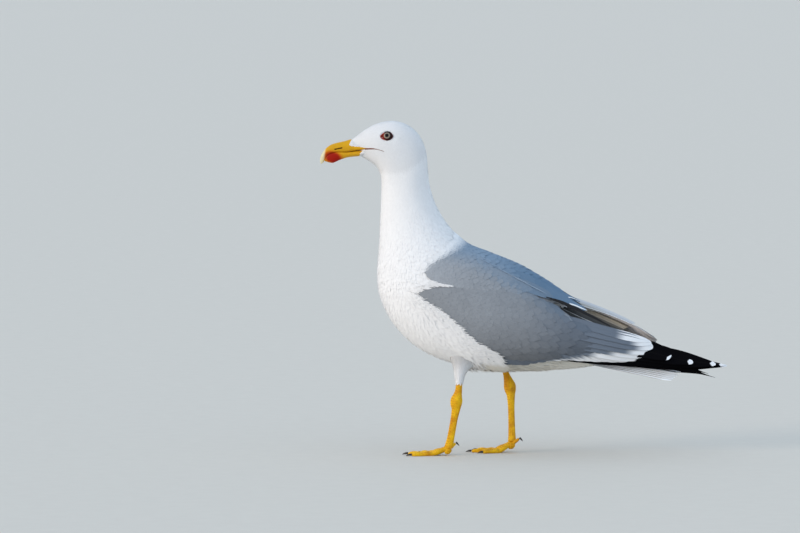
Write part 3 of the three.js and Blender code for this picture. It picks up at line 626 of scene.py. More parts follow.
def quill_material(name, base, tip, soft, shape, roughness, spread, gloss, pale=None, rim=None):
    """A flight feather: a base colour, a tip colour, and a pale underside, partly painted light. Its mark
    holds how white the tip is, how far the tip colour reaches (in parts of 100 mm) and how light the base is,
    which holds painted shade on the secondaries and tertials."""
    p = Paint(name)
    away, from_tip, chance, line, shaft = barbs(p, 0.7, 0.9)
    ragged = p.math("SUBTRACT", p.noise(420.0, 2.0, p.attribute("feather")), 0.5)
    place = p.fused(ragged, 1.6, p.fused(away, shape, from_tip))
    white, reach, light = p.parts(p.attribute("mark", "Color"))
    share = p.times(p.smooth(p.fused(reach, -100.0, place), -soft, soft, 1.0, 0.0), white)
    # the base darkened by its mark, which is painted shade on the secondaries and tertials
    ground = p.blend(light, (0, 0, 0), base)
    # the underside in its pale colour, partly painted light
    if pale is not None:
        ground = p.blend(p.attribute("under", "Fac"), ground, pale)
    tone = p.fused(line, 0.025, p.fused(chance, spread, 1.0 - spread / 2))
    # painted shadow darkening the vane towards its edge, near rim mm from the shaft
    if rim is not None:
        tone = p.times(tone, p.smooth(away, rim - 1.3, rim - 0.4, 1.0, 0.25))
    color = p.shaded(p.blend(share, ground, tip), tone)
    color = p.blend(p.times(shaft, 0.2), color, PALE_SHAFT if base[0] > 0.2 else DARK_SHAFT)
    return p.finish(color, roughness, p.bump(p.fused(shaft, 2.0, line), 0.3, 0.00015), gloss)


def grained(name, colours, scale, roughness, relief=None, gloss=None, detail=3.0, stretch=None):
    """A surface whose colour runs between two with a fine grain, and stands up with it."""
    p = Paint(name)
    grain = p.noise(scale, detail, stretch and p.stretch(p.place(), stretch))
    return p.finish(p.blend(grain, *colours), roughness, relief and p.bump(grain, *relief), gloss)


WHITE = (0.865, 0.87, 0.885)
GREY = (0.285, 0.305, 0.335)
# painted sky reflection and painted shade: the blue of the back, deeper towards the rear
BACK_SKY_BLUE = (0.102, 0.187, 0.293)
FRONT_SKY_BLUE = (0.215, 0.305, 0.415)
BLACK = (0.004, 0.004, 0.005)
# painted shade: the dull, warm white of the shaded underside
BELLY_SHADE_WHITE = (0.755, 0.725, 0.66)
# painted sky reflection: the wing's grey to the rear, bluer than the rest
REAR_SKY_GREY = (0.255, 0.30, 0.37)
# painted light: the tail's white, brighter and bluer than the body's, for light its shaded place lacks
TAIL_LIT_WHITE = (0.88, 0.94, 1.0)
# painted shadow: how far from the shaft a tail feather starts to darken towards its edge
TAIL_EDGE_SHADOW = 7.8
# the tertials' underside: paler than their top, and lighter still with painted light where it lies in shade
LIT_QUILL_UNDERSIDE = (0.72, 0.71, 0.69)
PALE_SHAFT, DARK_SHAFT = (0.12, 0.11, 0.10), (0.03, 0.027, 0.025)
# pairs of colours that a grain runs between
UNDER_GREYS = (0.26, 0.28, 0.31), (0.30, 0.32, 0.35)
GAPE_REDS = (0.13, 0.030, 0.014), (0.24, 0.065, 0.03)
CLAW_BLACKS = (0.012, 0.009, 0.008), (0.05, 0.035, 0.025)
FLOOR_SANDS = (0.64, 0.60, 0.54), (0.68, 0.64, 0.575)
HORN_YELLOWS = (0.55, 0.275, 0.006), (0.69, 0.385, 0.012)
IRIS_BROWNS = (0.21, 0.165, 0.13), (0.33, 0.27, 0.21)
LID_REDS = (0.30, 0.020, 0.010), (0.46, 0.045, 0.02)
LEG_YELLOWS = (0.66, 0.27, 0.002), (0.97, 0.585, 0.008)
WEB_YELLOWS = (0.78, 0.38, 0.004), (0.98, 0.60, 0.012)
HORN_STREAK, SPOT_RIM, SPOT_RED = (0.50, 0.22, 0.01), (0.56, 0.125, 0.003), (0.33, 0.008, 0.001)
HOOK_PALE, NOSTRIL_SHADE = (0.70, 0.64, 0.42), (0.03, 0.012, 0.008)
IRIS_RIM, PUPIL = (0.17, 0.14, 0.11), (0.002, 0.002, 0.002)
EYE_DARK, EYE_CORNER = (0.020, 0.008, 0.007), (0.24, 0.030, 0.018)
LID_REAR, LEG_CREASE, LEG_GROOVE = (0.07, 0.009, 0.008), (0.36, 0.16, 0.012), (0.30, 0.13, 0.012)

# places in metres: the red spot, and where the hook, the lid and the corner of the eye change colour
SPOT_CENTRE, SPOT_HALF, SPOT_LEAN = (-0.2478, 0.3858), (0.0112, 0.0078), 0.25
HOOK_LEAN, HOOK_SPAN = -0.16, (-0.3228, -0.3198)
LID_SPAN, CORNER_SPAN = (-0.1812, -0.1765), (-0.1822, -0.1804)
# distances from the middle of the eye, in mm
PUPIL_SPAN, IRIS_SPAN, DARK_SPAN, CORNER_RING = (2.25, 2.5), (2.5, 3.1), (3.8, 4.25), (4.0, 4.5)


def skin_material():
    p = Paint("skin_white")
    fine = p.noise(900.0, 4.0)
    color = p.shaded(p.attribute("mark", "Color"), p.smooth(fine, 0.2, 0.8, 0.93, 1.0))
    return p.finish(color, 0.9, p.bump(fine, 0.25, 0.0002), 0.15)


def bill_material():
    p = Paint("bill_horn")
    place = p.place()
    x, _, z = p.parts(place)
    streak = p.noise(9.0, 3.0, p.stretch(place, (18.0, 60.0, 60.0)))
    color = p.blend(p.noise(160.0), *HORN_YELLOWS)
    color = p.blend(p.times(p.smooth(streak, 0.45, 0.75), 0.25), color, HORN_STREAK)
    # the gonys spot, which runs a little onto the upper mandible
    dx, dz = (p.math("DIVIDE", p.math("SUBTRACT", v, centre), half)
              for v, centre, half in zip((x, z), SPOT_CENTRE, SPOT_HALF))
    lean = p.fused(dx, SPOT_LEAN, dz)
    reach = p.fused(p.noise(260.0), 0.4, p.math("ADD", p.times(dx, dx), p.times(lean, lean)))
    color = p.blend(p.smooth(reach, 0.8, 2.3, 1.0, 0.0), color, SPOT_RIM)
    color = p.blend(p.smooth(reach, 0.5, 1.5, 1.0, 0.0), color, SPOT_RED)
    # the hook is pale on its outer rim
    color = p.blend(p.smooth(p.fused(z, HOOK_LEAN, x), *HOOK_SPAN, 1.0, 0.0), color, HOOK_PALE)
    # painted shade in the nostril's hollow
    color = p.blend(p.smooth(p.attribute("hollow", "Fac"), 0.12, 0.6), color, NOSTRIL_SHADE)
    height = p.math("ADD", p.times(streak, 0.6), p.noise(700.0))
    return p.finish(color, p.fused(streak, 0.15, 0.38), p.bump(height, 0.15, 0.0002), 0.14)


def eye_material():
    p = Paint("eye_iris")
    ring = p.parts(p.attribute("feather"))[0]
    iris = p.blend(p.noise(3.0, 4.0, p.attribute("feather")), *IRIS_BROWNS)
    iris = p.blend(p.smooth(ring, *IRIS_SPAN, 1.0, 0.0), iris, IRIS_RIM)
    color = p.blend(p.smooth(ring, *PUPIL_SPAN, 1.0, 0.0), iris, PUPIL)
    color = p.blend(p.smooth(ring, *DARK_SPAN), color, EYE_DARK)
    x = p.parts(p.place())[0]
    corner = p.times(p.smooth(x, *CORNER_SPAN, 1.0, 0.0), p.smooth(ring, *CORNER_RING))
    color = p.blend(corner, color, EYE_CORNER)
    return p.finish(color, 0.16, None, 0.12, Coat_Weight=0.05, Coat_Roughness=0.03)


def lid_material():
    p = Paint("orbital_ring")
    wrinkle = p.noise(900.0, 4.0)
    color = p.blend(p.smooth(p.parts(p.place())[0], *LID_SPAN), p.blend(wrinkle, *LID_REDS), LID_REAR)
    return p.finish(color, 0.5, p.bump(wrinkle, 0.4, 0.0003), 0.3)


def leg_material():
    p = Paint("leg_skin")
    place = p.place()
    crease = p.smooth(p.cells(620.0, place, "DISTANCE_TO_EDGE"), 0.0, 0.09, 1.0, 0.0)
    color = p.blend(p.smooth(p.noise(70.0, 4.0), 0.3, 0.7), *LEG_YELLOWS)
    color = p.blend(p.times(crease, 0.5), color, LEG_CREASE)
    color = p.blend(p.times(p.attribute("groove", "Fac"), 0.7), color, LEG_GROOVE)
    height = p.fused(crease, -1.0, p.times(p.cells(620.0, place, "F1"), -0.4))
    return p.finish(color, 0.5, p.bump(height, 0.45, 0.0003), 0.2)


def web_material():
    p = Paint("web_skin")
    place = p.place()
    fold = p.noise(11.0, 4.0, p.stretch(place, (10.0, 60.0, 60.0)))
    cell = p.smooth(p.cells(900.0, place, "DISTANCE_TO_EDGE"), 0.0, 0.1)
    height = p.math("ADD", fold, p.times(cell, 0.3))
    return p.finish(p.blend(fold, *WEB_YELLOWS), 0.5, p.bump(height, 0.5, 0.0004), 0.4)


white_plumage = plumage("plumage_white", 0.5, 0.03, 0.0, 0.85, 0.12, 0.1)
grey_plumage = plumage("plumage_grey", 0.6, 0.06, 0.03, 0.75, 0.3, 0.06)
skin_paint = skin_material()
under_paint = grained("under_grey", UNDER_GREYS, 500.0, 0.9, (0.5, 0.0003), 0.15, detail=4.0)
primary_paint = quill_material("primary_black", BLACK, WHITE, 0.7, 0.5, 0.5, 0.1, 0.0)
secondary_paint = quill_material("secondary_grey", REAR_SKY_GREY, WHITE, 7.0, 0.1, 0.8, 0.03, 0.12)
tertial_paint = quill_material("tertial_grey", REAR_SKY_GREY, WHITE, 9.0, -0.3, 0.8, 0.03, 0.12, LIT_QUILL_UNDERSIDE)
tail_paint = quill_material("tail_white", TAIL_LIT_WHITE, TAIL_LIT_WHITE, 2.0, 0.0, 0.8, 0.04, 0.1, rim=TAIL_EDGE_SHADOW)
bill_paint, eye_paint, lid_paint = bill_material(), eye_material(), lid_material()
# one paint for the gape's skin and for the painted shadow between the mandibles
gape_and_seam_shadow_paint = grained("gape_skin_and_seam_shadow", GAPE_REDS, 700.0, 0.55, (0.3, 0.0002))
leg_paint, web_paint = leg_material(), web_material()
claw_paint = grained("claw_horn", CLAW_BLACKS, 12.0, 0.35, (0.2, 0.0002), stretch=(60.0, 260.0, 260.0))


def place_piece(obj, material, slot, *replaced):
    obj.data.materials.clear()
    obj.data.materials.append(material)
    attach(obj, "root")
    if replaced:
        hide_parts(*replaced)


def place_white(piece):
    place_piece(piece.build(), white_plumage, "plumage_white")


def place_grey(piece):
    place_piece(piece.build(), grey_plumage, "plumage_grey")


# ------------------------------------------------------------------ areas of the side view


def away_from(line, x, z):
    """How far points of the side view are from a broken line."""
    best = np.full(np.shape(x), 1e9)
    for (ax, az), (bx, bz) in zip(line[:-1], line[1:]):
        dx, dz = bx - ax, bz - az
        f = np.clip(((x - ax) * dx + (z - az) * dz) / (dx * dx + dz * dz), 0, 1)
        best = np.minimum(best, np.hypot(x - ax - f * dx, z - az - f * dz))
    return best


def inside(ring, x, z):
    """Whether points of the side view lie in a ring."""
    hit = np.zeros(np.shape(x), bool)
    for (ax, az), (bx, bz) in zip(ring, ring[1:] + ring[:1]):
        if az != bz:
            crosses = (az > z) != (bz > z)
            hit ^= crosses & (x < ax + (z - az) * (bx - ax) / (bz - az))
    return hit


def above(line, x, z):
    """How far points of the side view are over a line given from left to right."""
    return z - np.interp(x, *np.array(line, float).T)


def staggered(ring, step, gap, heading, loose=0.12):
    """Places in staggered rows over an area of the side view, the rows running across the heading."""
    d = unit(np.array(heading, float))
    e = np.array([-d[1], d[0]])
    corners = np.array(ring, float)
    i = np.arange((corners @ d).min(), (corners @ d).max(), step)
    j = np.arange((corners @ e).min() - gap, (corners @ e).max() + gap, gap)
    row, place = grid(np.arange(len(i)), j)
    place = place + (row % 2) * gap / 2 + RNG.normal(0, loose, place.shape) * gap
    run = i[row] + RNG.normal(0, loose, place.shape) * step
    x = (run * d[0] + place * e[0]).ravel()
    z = (run * d[1] + place * e[1]).ravel()
    kept = inside(ring, x, z)
    return x[kept], z[kept]


WING_LOWER_EDGE = [(-141, 213), (-134, 200), (-118, 186), (-97, 169), (-75, 151), (-50, 140), (-20, 134),
                   (15, 133), (50, 134), (78, 136)]
WING_UPPER_EDGE = {
    "left": [(-141, 214), (-136, 226), (-118, 237), (-92, 240), (-62, 240), (-28, 234), (5, 221),
             (30, 206), (55, 187), (78, 170)],
    "right": [(-141, 214), (-136, 226), (-118, 237), (-92, 240), (-62, 240), (-28, 236), (5, 228),
              (36, 217), (60, 204), (82, 193)],
}
SADDLE_EDGE = [(-130, 241), (-126, 232.5), (-116, 226.5), (-100, 222.8), (-82, 220), (-52, 217),
               (-20, 212.5), (12, 206.5), (40, 200)]
# where the white flank feathers end over the wing, and the white slit between wing and shoulder feathers
FRINGE = [(-141, 216), (-124, 203.5), (-102.4, 190.5), (-88, 177), (-76.4, 165), (-58, 151), (-42, 142.5),
          (-31, 135), (-26, 124)]
SLIT = [(-145, 211.5), (-139.6, 215), (-130, 220.5), (-120, 223.8), (-105, 224.4), (-84, 223), (-60, 219)]
# how far forward the grey comes at each height
GREY_FRONT = np.array([(212, 400), (222, -101), (232, -124), (241, -134), (250, -132), (259, -121),
                       (270, -106), (280, -95), (293, -89)])
# over how many mm it blends with the white there
GREY_SOFT = [225, 240, 255, 270, 290], [3.0, 5.0, 13.0, 26.0, 32.0]
BARE_BILL = [(-250, 402.4), (-227.1, 402.1), (-224.1, 400.8), (-216.7, 400.1), (-206.4, 398.6),
             (-204.4, 397.6), (-205.2, 396.5), (-210.2, 394.4), (-213.2, 391.6), (-213.6, 390),
             (-213.6, 386), (-250, 386)]
MOUTH = [(-259.1, 381.6), (-258.4, 385.5), (-251.9, 391), (-241.5, 392.6), (-234.6, 392), (-229.2, 392.6),
         (-221.6, 393.9), (-213, 395.9), (-206, 397.5)]
GAPE = [(-206.5, 397.5), (-197, 397.9), (-189, 396.9), (-181.5, 394.4)]
EYE_PLACE, EYE_RADIUS, EYE_SUNK = (-177.4, 415.2), 8.0, 6.1
RIM_FRONT, RIM_REAR, RIM_HALF = 8.6, 7.4, 5.3
RIM_Z = EYE_PLACE[1] - 0.9
FAR = 99.0


def grey_share(x, z):
    """0 in the white of the neck, 1 in the grey of the back."""
    return ease((x - np.interp(z, *GREY_FRONT.T)) / np.interp(z, *GREY_SOFT))


def eye_reach(x, z, margin):
    """Distances from the rim of the eye: as a share of its size, and along the head from in front of it."""
    dx, dz = x - EYE_PLACE[0], z - RIM_Z
    reach = np.where(dx < 0, RIM_FRONT, RIM_REAR) + margin
    half = RIM_HALF + margin
    share = np.hypot(dx / reach, dz / half)
    ahead = -dx - reach * np.sqrt(np.clip(1 - (dz / half) ** 2, 0, 1))
    return share, np.where((dx < 0) & (np.abs(dz) < half), ahead, FAR)


# ------------------------------------------------------------------ skin

COAT_SECTIONS = BODY_SECTIONS.copy()
COAT_SECTIONS[12:17, 4] = [56.6, 64.2, 66.4, 61.5, 48.5]
coat = Slanted(COAT_SECTIONS)

THIGHS = {
    "left": [[-73, -24, 148, 35, 22], [-75, -25, 141, 32, 20.6], [-77, -26.2, 133, 27, 16.8],
             [-79, -28, 126, 20.5, 13.6], [-80.8, -30, 119.5, 14.6, 11], [-82.4, -31.8, 113, 10.2, 9],
             [-83.6, -33.4, 105.5, 7.2, 7], [-84.3, -34.3, 94.5, 5.1, 4.8]],
    "right": [[-40, 30, 142, 25, 17], [-36, 31, 128, 19, 14.5], [-29.5, 32, 117, 10, 9],
              [-25.5, 32, 110, 5, 4.8]],
}
thighs = {side: Limb(rows) for side, rows in THIGHS.items()}
SKIN_DEPTH = [0, 2, 4, 6, 9, 12, 19], [0.35, 0.6, 0.8, 1.0, 1.4, 1.8, 2.0]
THIGH_DEPTH, BILL_DEPTH, EYE_DEPTH = 0.9, 3.0, 0.8
# painted shade: the skin of the eye's socket near black, its front corner red
SOCKET_SHADE, SOCKET_FRONT = 0.06, (0.17, 0.022, 0.014)


def skin_height(t, a):
    p = coat.bare(t, a)
    bare = inside(BARE_BILL, p[..., 0], p[..., 2])
    share, _ = eye_reach(p[..., 0], p[..., 2], 0.0)
    return -np.interp(t, *SKIN_DEPTH) - np.where(bare, BILL_DEPTH, 0.0) - EYE_DEPTH * (share < 1.0)


def make_skin():
    """One skin over head, neck, torso and thighs, in the colours of the plumage over it."""
    legs = [limb.tube(40, 32, -THIGH_DEPTH) for limb in thighs.values()]
    skin = join("skin", [coat.tube(220, 88, skin_height), *legs])
    remesh(skin, 2.0)
    x, y, z = vertex_places(skin).T
    socket = (eye_reach(x, z, -0.4)[0] < 1.0) & (np.abs(y) > 12)
    colour = mix(np.array(WHITE) * 0.97, np.array(GREY) * 0.8, grey_share(x, z)[:, None])
    # painted shade in the socket round the eyeball
    colour = colour * np.where(socket, SOCKET_SHADE, 1.0)[:, None]
    colour[socket & (x < EYE_PLACE[0] - 3)] = SOCKET_FRONT
    add_attribute(skin, "mark", opaque(colour))
    place_piece(skin, skin_paint, "plumage_white", "head", "neck", "torso", "thigh_left", "thigh_right")


make_skin()

# ------------------------------------------------------------------ white coat

# by the section of the coat: the gap between feathers, their length, width as a share of it, depth and lift
COAT_GAP = [0, 2, 4, 6, 8, 11, 14, 19], [1.15, 1.3, 1.5, 1.7, 1.9, 2.15, 2.35, 2.6]
COAT_LENGTH = [0, 1, 2, 4, 6, 8, 11, 14, 19], [2.2, 3.0, 4.0, 5.5, 7.5, 9.5, 12.0, 15.0, 17.0]
COAT_WIDTH = [0, 3, 8, 14], [0.56, 0.54, 0.5, 0.48]
COAT_DEPTH = [0, 2, 4, 6, 9, 12, 19], [0.2, 0.35, 0.5, 0.6, 0.8, 1.1, 1.2]
COAT_LIFT = [0, 6, 12], [0.3, 0.6, 1.2]
# the pieces of the coat, the section that each ends at, and how much its tips curl
COAT_PIECES = [("face", 3.6, 0.5), ("crown", 6.6, 0.5), ("neck", 9.2, 0.5), ("shoulder", 11.6, 0.5),
               ("breast", 14.0, 0.5), ("belly", 16.6, 0.5), ("vent", 19.0, 0.8)]
UNDER_WING = [(-134, 217), (-124, 209), (-98, 193), (-84, 180), (-70, 168), (-50, 155), (-30, 146),
              (20, 142), (80, 142), (128, 150), (95, 180), (40, 214), (-10, 240), (-50, 258), (-72, 262),
              (-92, 262), (-104, 250), (-112, 238), (-96, 229), (-70, 224), (-96, 220), (-122, 219)]
# the line above which the face and crown carry painted shade
CROWN_LINE = [-190, -150, -125], [368, 374, 392]


def coat_mask(t, p):
    x, z = p[..., 0], p[..., 2]
    share, _ = eye_reach(x, z, 1.5)
    gape = (away_from(GAPE, x, z) < 0.9) & (np.abs(p[..., 1]) > 6)
    deep = away_from(UNDER_WING + UNDER_WING[:1], x, z) > 9.0
    under_mantle = (t > 11) & (grey_share(x, z) > 0.97) & (x > -60) & (z > 150)
    return ~(inside(BARE_BILL, x, z) | (share < 1) | gape | (inside(UNDER_WING, x, z) & deep) | under_mantle)


def face_painted_shade(x, z):
    """Painted shade that makes the face and crown a little greyer than the neck."""
    return 1 - 0.1 * ease((z - np.interp(x, *CROWN_LINE) + 4) / 9)


def belly_shade_share(x, z):
    """How much of the painted shade, a dull white, the belly takes: all of it behind, and only low down
    between the legs.
    """
    return np.maximum(ease((x - 5) / 50) * ease((135 - z) / 10), ease((x + 80) / 26) * ease((123 - z) / 7))


# the coat's white, with painted shade on the face, the crown and the underside
def coat_colour(x, z):
    white = mix(np.array(WHITE) * face_painted_shade(x, z)[:, None], np.array(BELLY_SHADE_WHITE), belly_shade_share(x, z)[:, None])
    return mix(white, np.array(GREY), grey_share(x - 7 * ease((250 - z) / 6), z)[:, None])


def white_coat(name, start, end, curl):
    piece = Feathers(f"coat_{name}", 3, 2)
    t, a, p = scatter(coat, lambda t, p: np.interp(t, *COAT_GAP), coat_mask, (start, end))
    x, z, n = p[:, 0], p[:, 2], len(t)
    length = np.interp(t, *COAT_LENGTH) * RNG.uniform(0.85, 1.15, n)
    _, ahead = eye_reach(x, z, 1.4)
    length = np.minimum(length, np.maximum(ahead, 0.4) + 0.6)
    lift = RNG.normal(0.0, 0.08, n) * np.interp(t, *COAT_LIFT)
    sunk = 1.8 * ease((grey_share(x, z) - 0.7) / 0.3) * (t > 9)
    depth = np.interp(t, *COAT_DEPTH) + sunk
    cover(piece, coat, t, a, length, length * np.interp(t, *COAT_WIDTH), coat_colour(x + 0.5 * length, z),
          (-depth, lift - sunk), camber=0.04, curl=curl * RNG.random(n) * depth * 0.25, spin=0.11,
          point=1.6, wave=0.05)
    place_white(piece)


start = 0
for name, end, curl in COAT_PIECES:
    white_coat(name, start, end, curl)
    start = end

THIGH_MAPS = {"left": LEFT_MAP, "right": RIGHT_MAP}
# painted shade: the thigh's white darker towards its top, where it meets the shaded belly
THIGH_PAINTED_SHADE = [106, 116, 128], [1.0, 0.9, 0.7]
THIGH_GAP = [2.3, 1.2]
THIGH_LENGTH = [0, 0.6, 1], [12.0, 8.0, 4.2]


def thigh_coat():
    piece = Feathers("coat_thighs", 3, 2, soften=0.75)
    for side, limb in thighs.items():
        t, a, p = scatter(limb, lambda t, p: np.interp(t, [0, limb.last], THIGH_GAP),
                          t_range=(0.3, limb.last - 0.05))
        length = np.interp(t / limb.last, *THIGH_LENGTH) * RNG.uniform(0.85, 1.15, len(t))
        # painted shade towards the top of the thigh
        colour = np.array(WHITE) * np.interp(p[:, 2], *THIGH_PAINTED_SHADE)[:, None]
        cover(piece, limb, t, a, length, length * 0.42, colour, (-0.9, 0.1), curl=RNG.random(len(t)) * 0.4,
              spin=0.16, wave=0.06, region=THIGH_MAPS[side])
    place_white(piece)


BELLY_EDGE = [-90, -40, 15, 60], [117.5, 110, 109.5, 111.5]
LOOSE_LIFT = [-76, -60, -40, 0], [5.0, 3.0, 1.4, 1.0]
LOOSE_CURL = [-76, -45, -10, 30], [3.6, 2.4, 1.0, 1.6]


def belly_loose():
    """Loose feathers that hang from the belly behind each thigh."""
    piece, n = Feathers("coat_belly_loose", 5, 2, soften=0.8), 1000
    x = RNG.uniform(-78, 30, n)
    t, a = coat.locate(x, np.interp(x, *BELLY_EDGE) + 3.5)
    a = np.pi - (np.pi - a) * RNG.uniform(-1.9, 1.9, n)
    length = RNG.uniform(10, 16, n)
    # painted shade, more of it to the rear
    colour = mix(np.array(WHITE), np.array(BELLY_SHADE_WHITE), ease((x + 80) / 30)[:, None])
    cover(piece, coat, t, a, length, length * 0.3, colour, (-1.2, np.interp(x, *LOOSE_LIFT)),
          curl=RNG.uniform(0, 1, n) * np.interp(x, *LOOSE_CURL), spin=0.15, wave=0.08)
    place_white(piece)


def outside_fringe(x, z):
    """How far points are from the wing's cover of white, positive on the white side."""
    away = away_from(FRINGE, x, z)
    return np.where(inside(FRINGE + [(80, 129), (80, 330), (-141, 330)], x, z), -away, away)


def flank_mask(t, p):
    x, z = p[..., 0], p[..., 2]
    outside = outside_fringe(x, z)
    return (outside > 4.0) & (outside < 34) & (x < -27) & (z < 214)


def lie_to(*heading):
    return lambda p: np.broadcast_to(np.array(heading, float), p.shape)


# by the distance from the wing's edge: the gap between flank feathers, their length, width and heights
FLANK_GAP = [4, 9, 16, 34], [1.0, 1.3, 2.0, 3.2]
FLANK_LENGTH = [4, 14, 34], [8.5, 12.0, 15.0]
FLANK_WIDTH = [4, 9, 34], [0.95, 2.2, 5.5]
FLANK_ROOT = [4, 16, 34], [0.2, -1.2, -3.4]
FLANK_TIP = [4, 10, 20, 34], [1.6, 1.3, -0.2, -2.2]
FLANK_SPAN = {LEFT: (2 * np.pi - 2.9, 2 * np.pi - 0.5), RIGHT: (0.5, 2.9)}


def flank_gap(t, p):
    return np.interp(outside_fringe(p[..., 0], p[..., 2]), *FLANK_GAP)


def flank_coat():
    piece = Feathers("coat_flanks", 4, 2, soften=0.75)
    for side in (LEFT, RIGHT):
        t, a, p = scatter(cloak, flank_gap, flank_mask, (0.2, 5.0), FLANK_SPAN[side])
        n, off = len(t), outside_fringe(p[:, 0], p[:, 2])
        length = np.interp(off, *FLANK_LENGTH) * RNG.uniform(0.7, 1.3, n)
        high = np.interp(off, *FLANK_TIP) + RNG.normal(0, 0.15, n)
        # painted shade low on the belly and to the rear
        colour = mix(np.array(WHITE), np.array(BELLY_SHADE_WHITE), belly_shade_share(p[:, 0], p[:, 2])[:, None])
        low, width = np.interp(off, *FLANK_ROOT), np.interp(off, *FLANK_WIDTH)
        cover(piece, cloak, t, a, length, width, colour, (low, high), lie_to(1, 0, -0.3),
              curl=RNG.uniform(-0.2, 0.4, n), spin=0.2, tip=0.25, point=1.3, wave=0.12)
    place_white(piece)


thigh_coat()
belly_loose()
flank_coat()

# ------------------------------------------------------------------ grey coat

SHELL_SUNK, SLIT_SUNK, SLIT_END = 5.8, 3.4, -86


def wing_shell(name):
    last = len(WING_LOWER_EDGE) - 1

    def face(u, v, outer):
        along_edge = last * u**1.25
        low, high = along(WING_LOWER_EDGE, along_edge), along(WING_UPPER_EDGE[name], along_edge)
        rim = np.minimum(np.minimum(ease(v * 5), ease((1 - v) * 5)), ease(u * 9))
        (low_t, low_a), (high_t, high_a) = (cloak.locate(edge[..., 0], edge[..., 1]) for edge in (low, high))
        t, a = mix(low_t, high_t, v), mix(low_a, high_a, v)
        x, _, z = np.moveaxis(cloak.bare(t, a), -1, 0)
        in_slit = ease((above(SLIT, x, z) + 1.5) / 3) * ease((SLIT_END - x) / 6)
        sunk = np.maximum(ease(outside_fringe(x, z) / 6.0 + 0.5) * SHELL_SUNK, in_slit * SLIT_SUNK)
        out = mix(-2.2, -0.9, rim) if outer else -mix(2.6, 6.3, rim)
        return cloak.point(t, SIDES[name] * a, out - sunk)

    return plate(f"wing_base_{name}", face, 60, 30)


def saddle_face(u, v, outer):
    last = len(SADDLE_EDGE) - 1
    edge = along(SADDLE_EDGE, last * u) + ease(1 - u / 0.4)[..., None] * np.array([3.4, 1.8])
    t, angle = cloak.locate(edge[..., 0], edge[..., 1])
    place = 2 * v - 1
    rim = np.minimum(np.minimum(ease((1 - np.abs(place)) * 6), ease(u * 7)), ease((1 - u) * 5))
    out = mix(-1.8, -1.0, rim) if outer else -mix(2.4, 5.0, rim)
    return cloak.point(mix(mix(0.7, 4.6, u), t, np.abs(place) ** 1.4), place * angle, out)


place_piece(plate("mantle_base", saddle_face, 60, 60), under_paint, "plumage_grey", "mantle")
for name in SIDES:
    place_piece(wing_shell(name), under_paint, "plumage_grey", f"wing_{name}")

WING_HEADING = (0.93, -0.37)
COVERTS = [
    # area of the side view, step, gap, length, width, and the heights of root and tip
    ([(-62, 147), (-30, 160), (10, 178), (58, 182), (80, 168), (88, 158), (70, 148), (30, 139), (-8, 132),
      (-30, 133.5), (-50, 139)], 11.0, 9.5, 36.0, 13.5, -1.2, 0.15),
    ([(-40, 224), (0, 224), (40, 206), (62, 190), (60, 172), (10, 170), (-20, 150), (-60, 143), (-40, 175),
      (-28, 205)], 8.0, 9.0, 24.0, 13.0, -0.6, 0.35),
    ([(-142, 214), (-122, 226), (-80, 226), (-30, 222), (-15, 205), (-30, 175), (-55, 146), (-80, 148),
      (-118, 180), (-136, 200)], 5.0, 6.2, 14.5, 9.0, -0.45, 0.3),
]
# painted shade of the wing: darker towards its lower edge and to the rear
WING_SHADE_DOWN = [122, 150, 185], [0.50, 0.77, 1.0]
WING_SHADE_BACK = [-120, -60, 0, 50, 90], [0.92, 0.99, 0.88, 0.62, 0.56]
SKY_BLUE_LINE = [-110, -70, 28, 80], [276, 262, 209.5, 182]


def sky_blue_share(x, z):
    """0 in the grey of the shoulders and wings, 1 in the painted sky reflection that makes the back blue."""
    return ease((z - np.interp(x, *SKY_BLUE_LINE) + 26) / 40)[:, None]


# painted sky reflection: the back's blue, from front to rear
def back_sky_tint(x):
    return mix(np.array(FRONT_SKY_BLUE), np.array(BACK_SKY_BLUE), ease((x + 80) / 110)[:, None])


def wing_tone(x, z):
    """The wing's grey, darkened with painted shade along its lower edge and to the rear, and bluer there
    with painted sky reflection.
    """
    dark = np.interp(z, *WING_SHADE_DOWN) * np.interp(x, *WING_SHADE_BACK)
    tone = mix(np.array(GREY), np.array(REAR_SKY_GREY), ease((x + 10) / 90)[:, None]) * dark[:, None]
    return mix(tone, back_sky_tint(x), 0.85 * sky_blue_share(x, z))


def wing_coverts(name):
    piece = Feathers(f"coverts_{name}", 5, 4, 0.2)
    for ring, step, gap, length, width, low, high in COVERTS:
        x, z = staggered(ring, step, gap, WING_HEADING)
        clear = ((above(SLIT, x, z) < -1.8) | (x > -84)) & (outside_fringe(x, z) < 5.0)
        clear &= (above(WING_UPPER_EDGE[name], x, z) < -width * 0.45) | (x < 0)
        x, z = x[clear], z[clear]
        t, a = cloak.locate(x, z, SIDES[name])
        n = len(t)
        shade = wing_tone(x + length / 2, z - length * 0.2) * RNG.uniform(0.97, 1.03, (n, 1))
        cover(piece, cloak, t, a, length * RNG.uniform(0.93, 1.07, n), width, shade, (low, high),
              lie_to(WING_HEADING[0], 0, WING_HEADING[1]), camber=0.07, spin=0.05, tip=0.6, point=2.2)
    place_grey(piece)


for name in SIDES:
    wing_coverts(name)

MANTLE_MARGIN = [-130, -90, -40], [1.6, 2.4, 4.0]
MANTLE_SIZE = [-5, 15, 50, 110, 160], [2.0, 2.6, 4.6, 7.0, 8.6]
MANTLE_LIFT = [2.0, 7.0], [0.35, 1.2]
# painted light: the grey made lighter at the front of the shoulders
SHOULDER_PAINTED_LIGHT = [-125, -70], [1.27, 1.04]


def mantle_mask(t, p):
    x, z = p[..., 0], p[..., 2]
    clear = above(SADDLE_EDGE, x, z) > np.interp(x, *MANTLE_MARGIN)
    return clear & (grey_share(x + 4, z) > 0.04) & (x < 70)


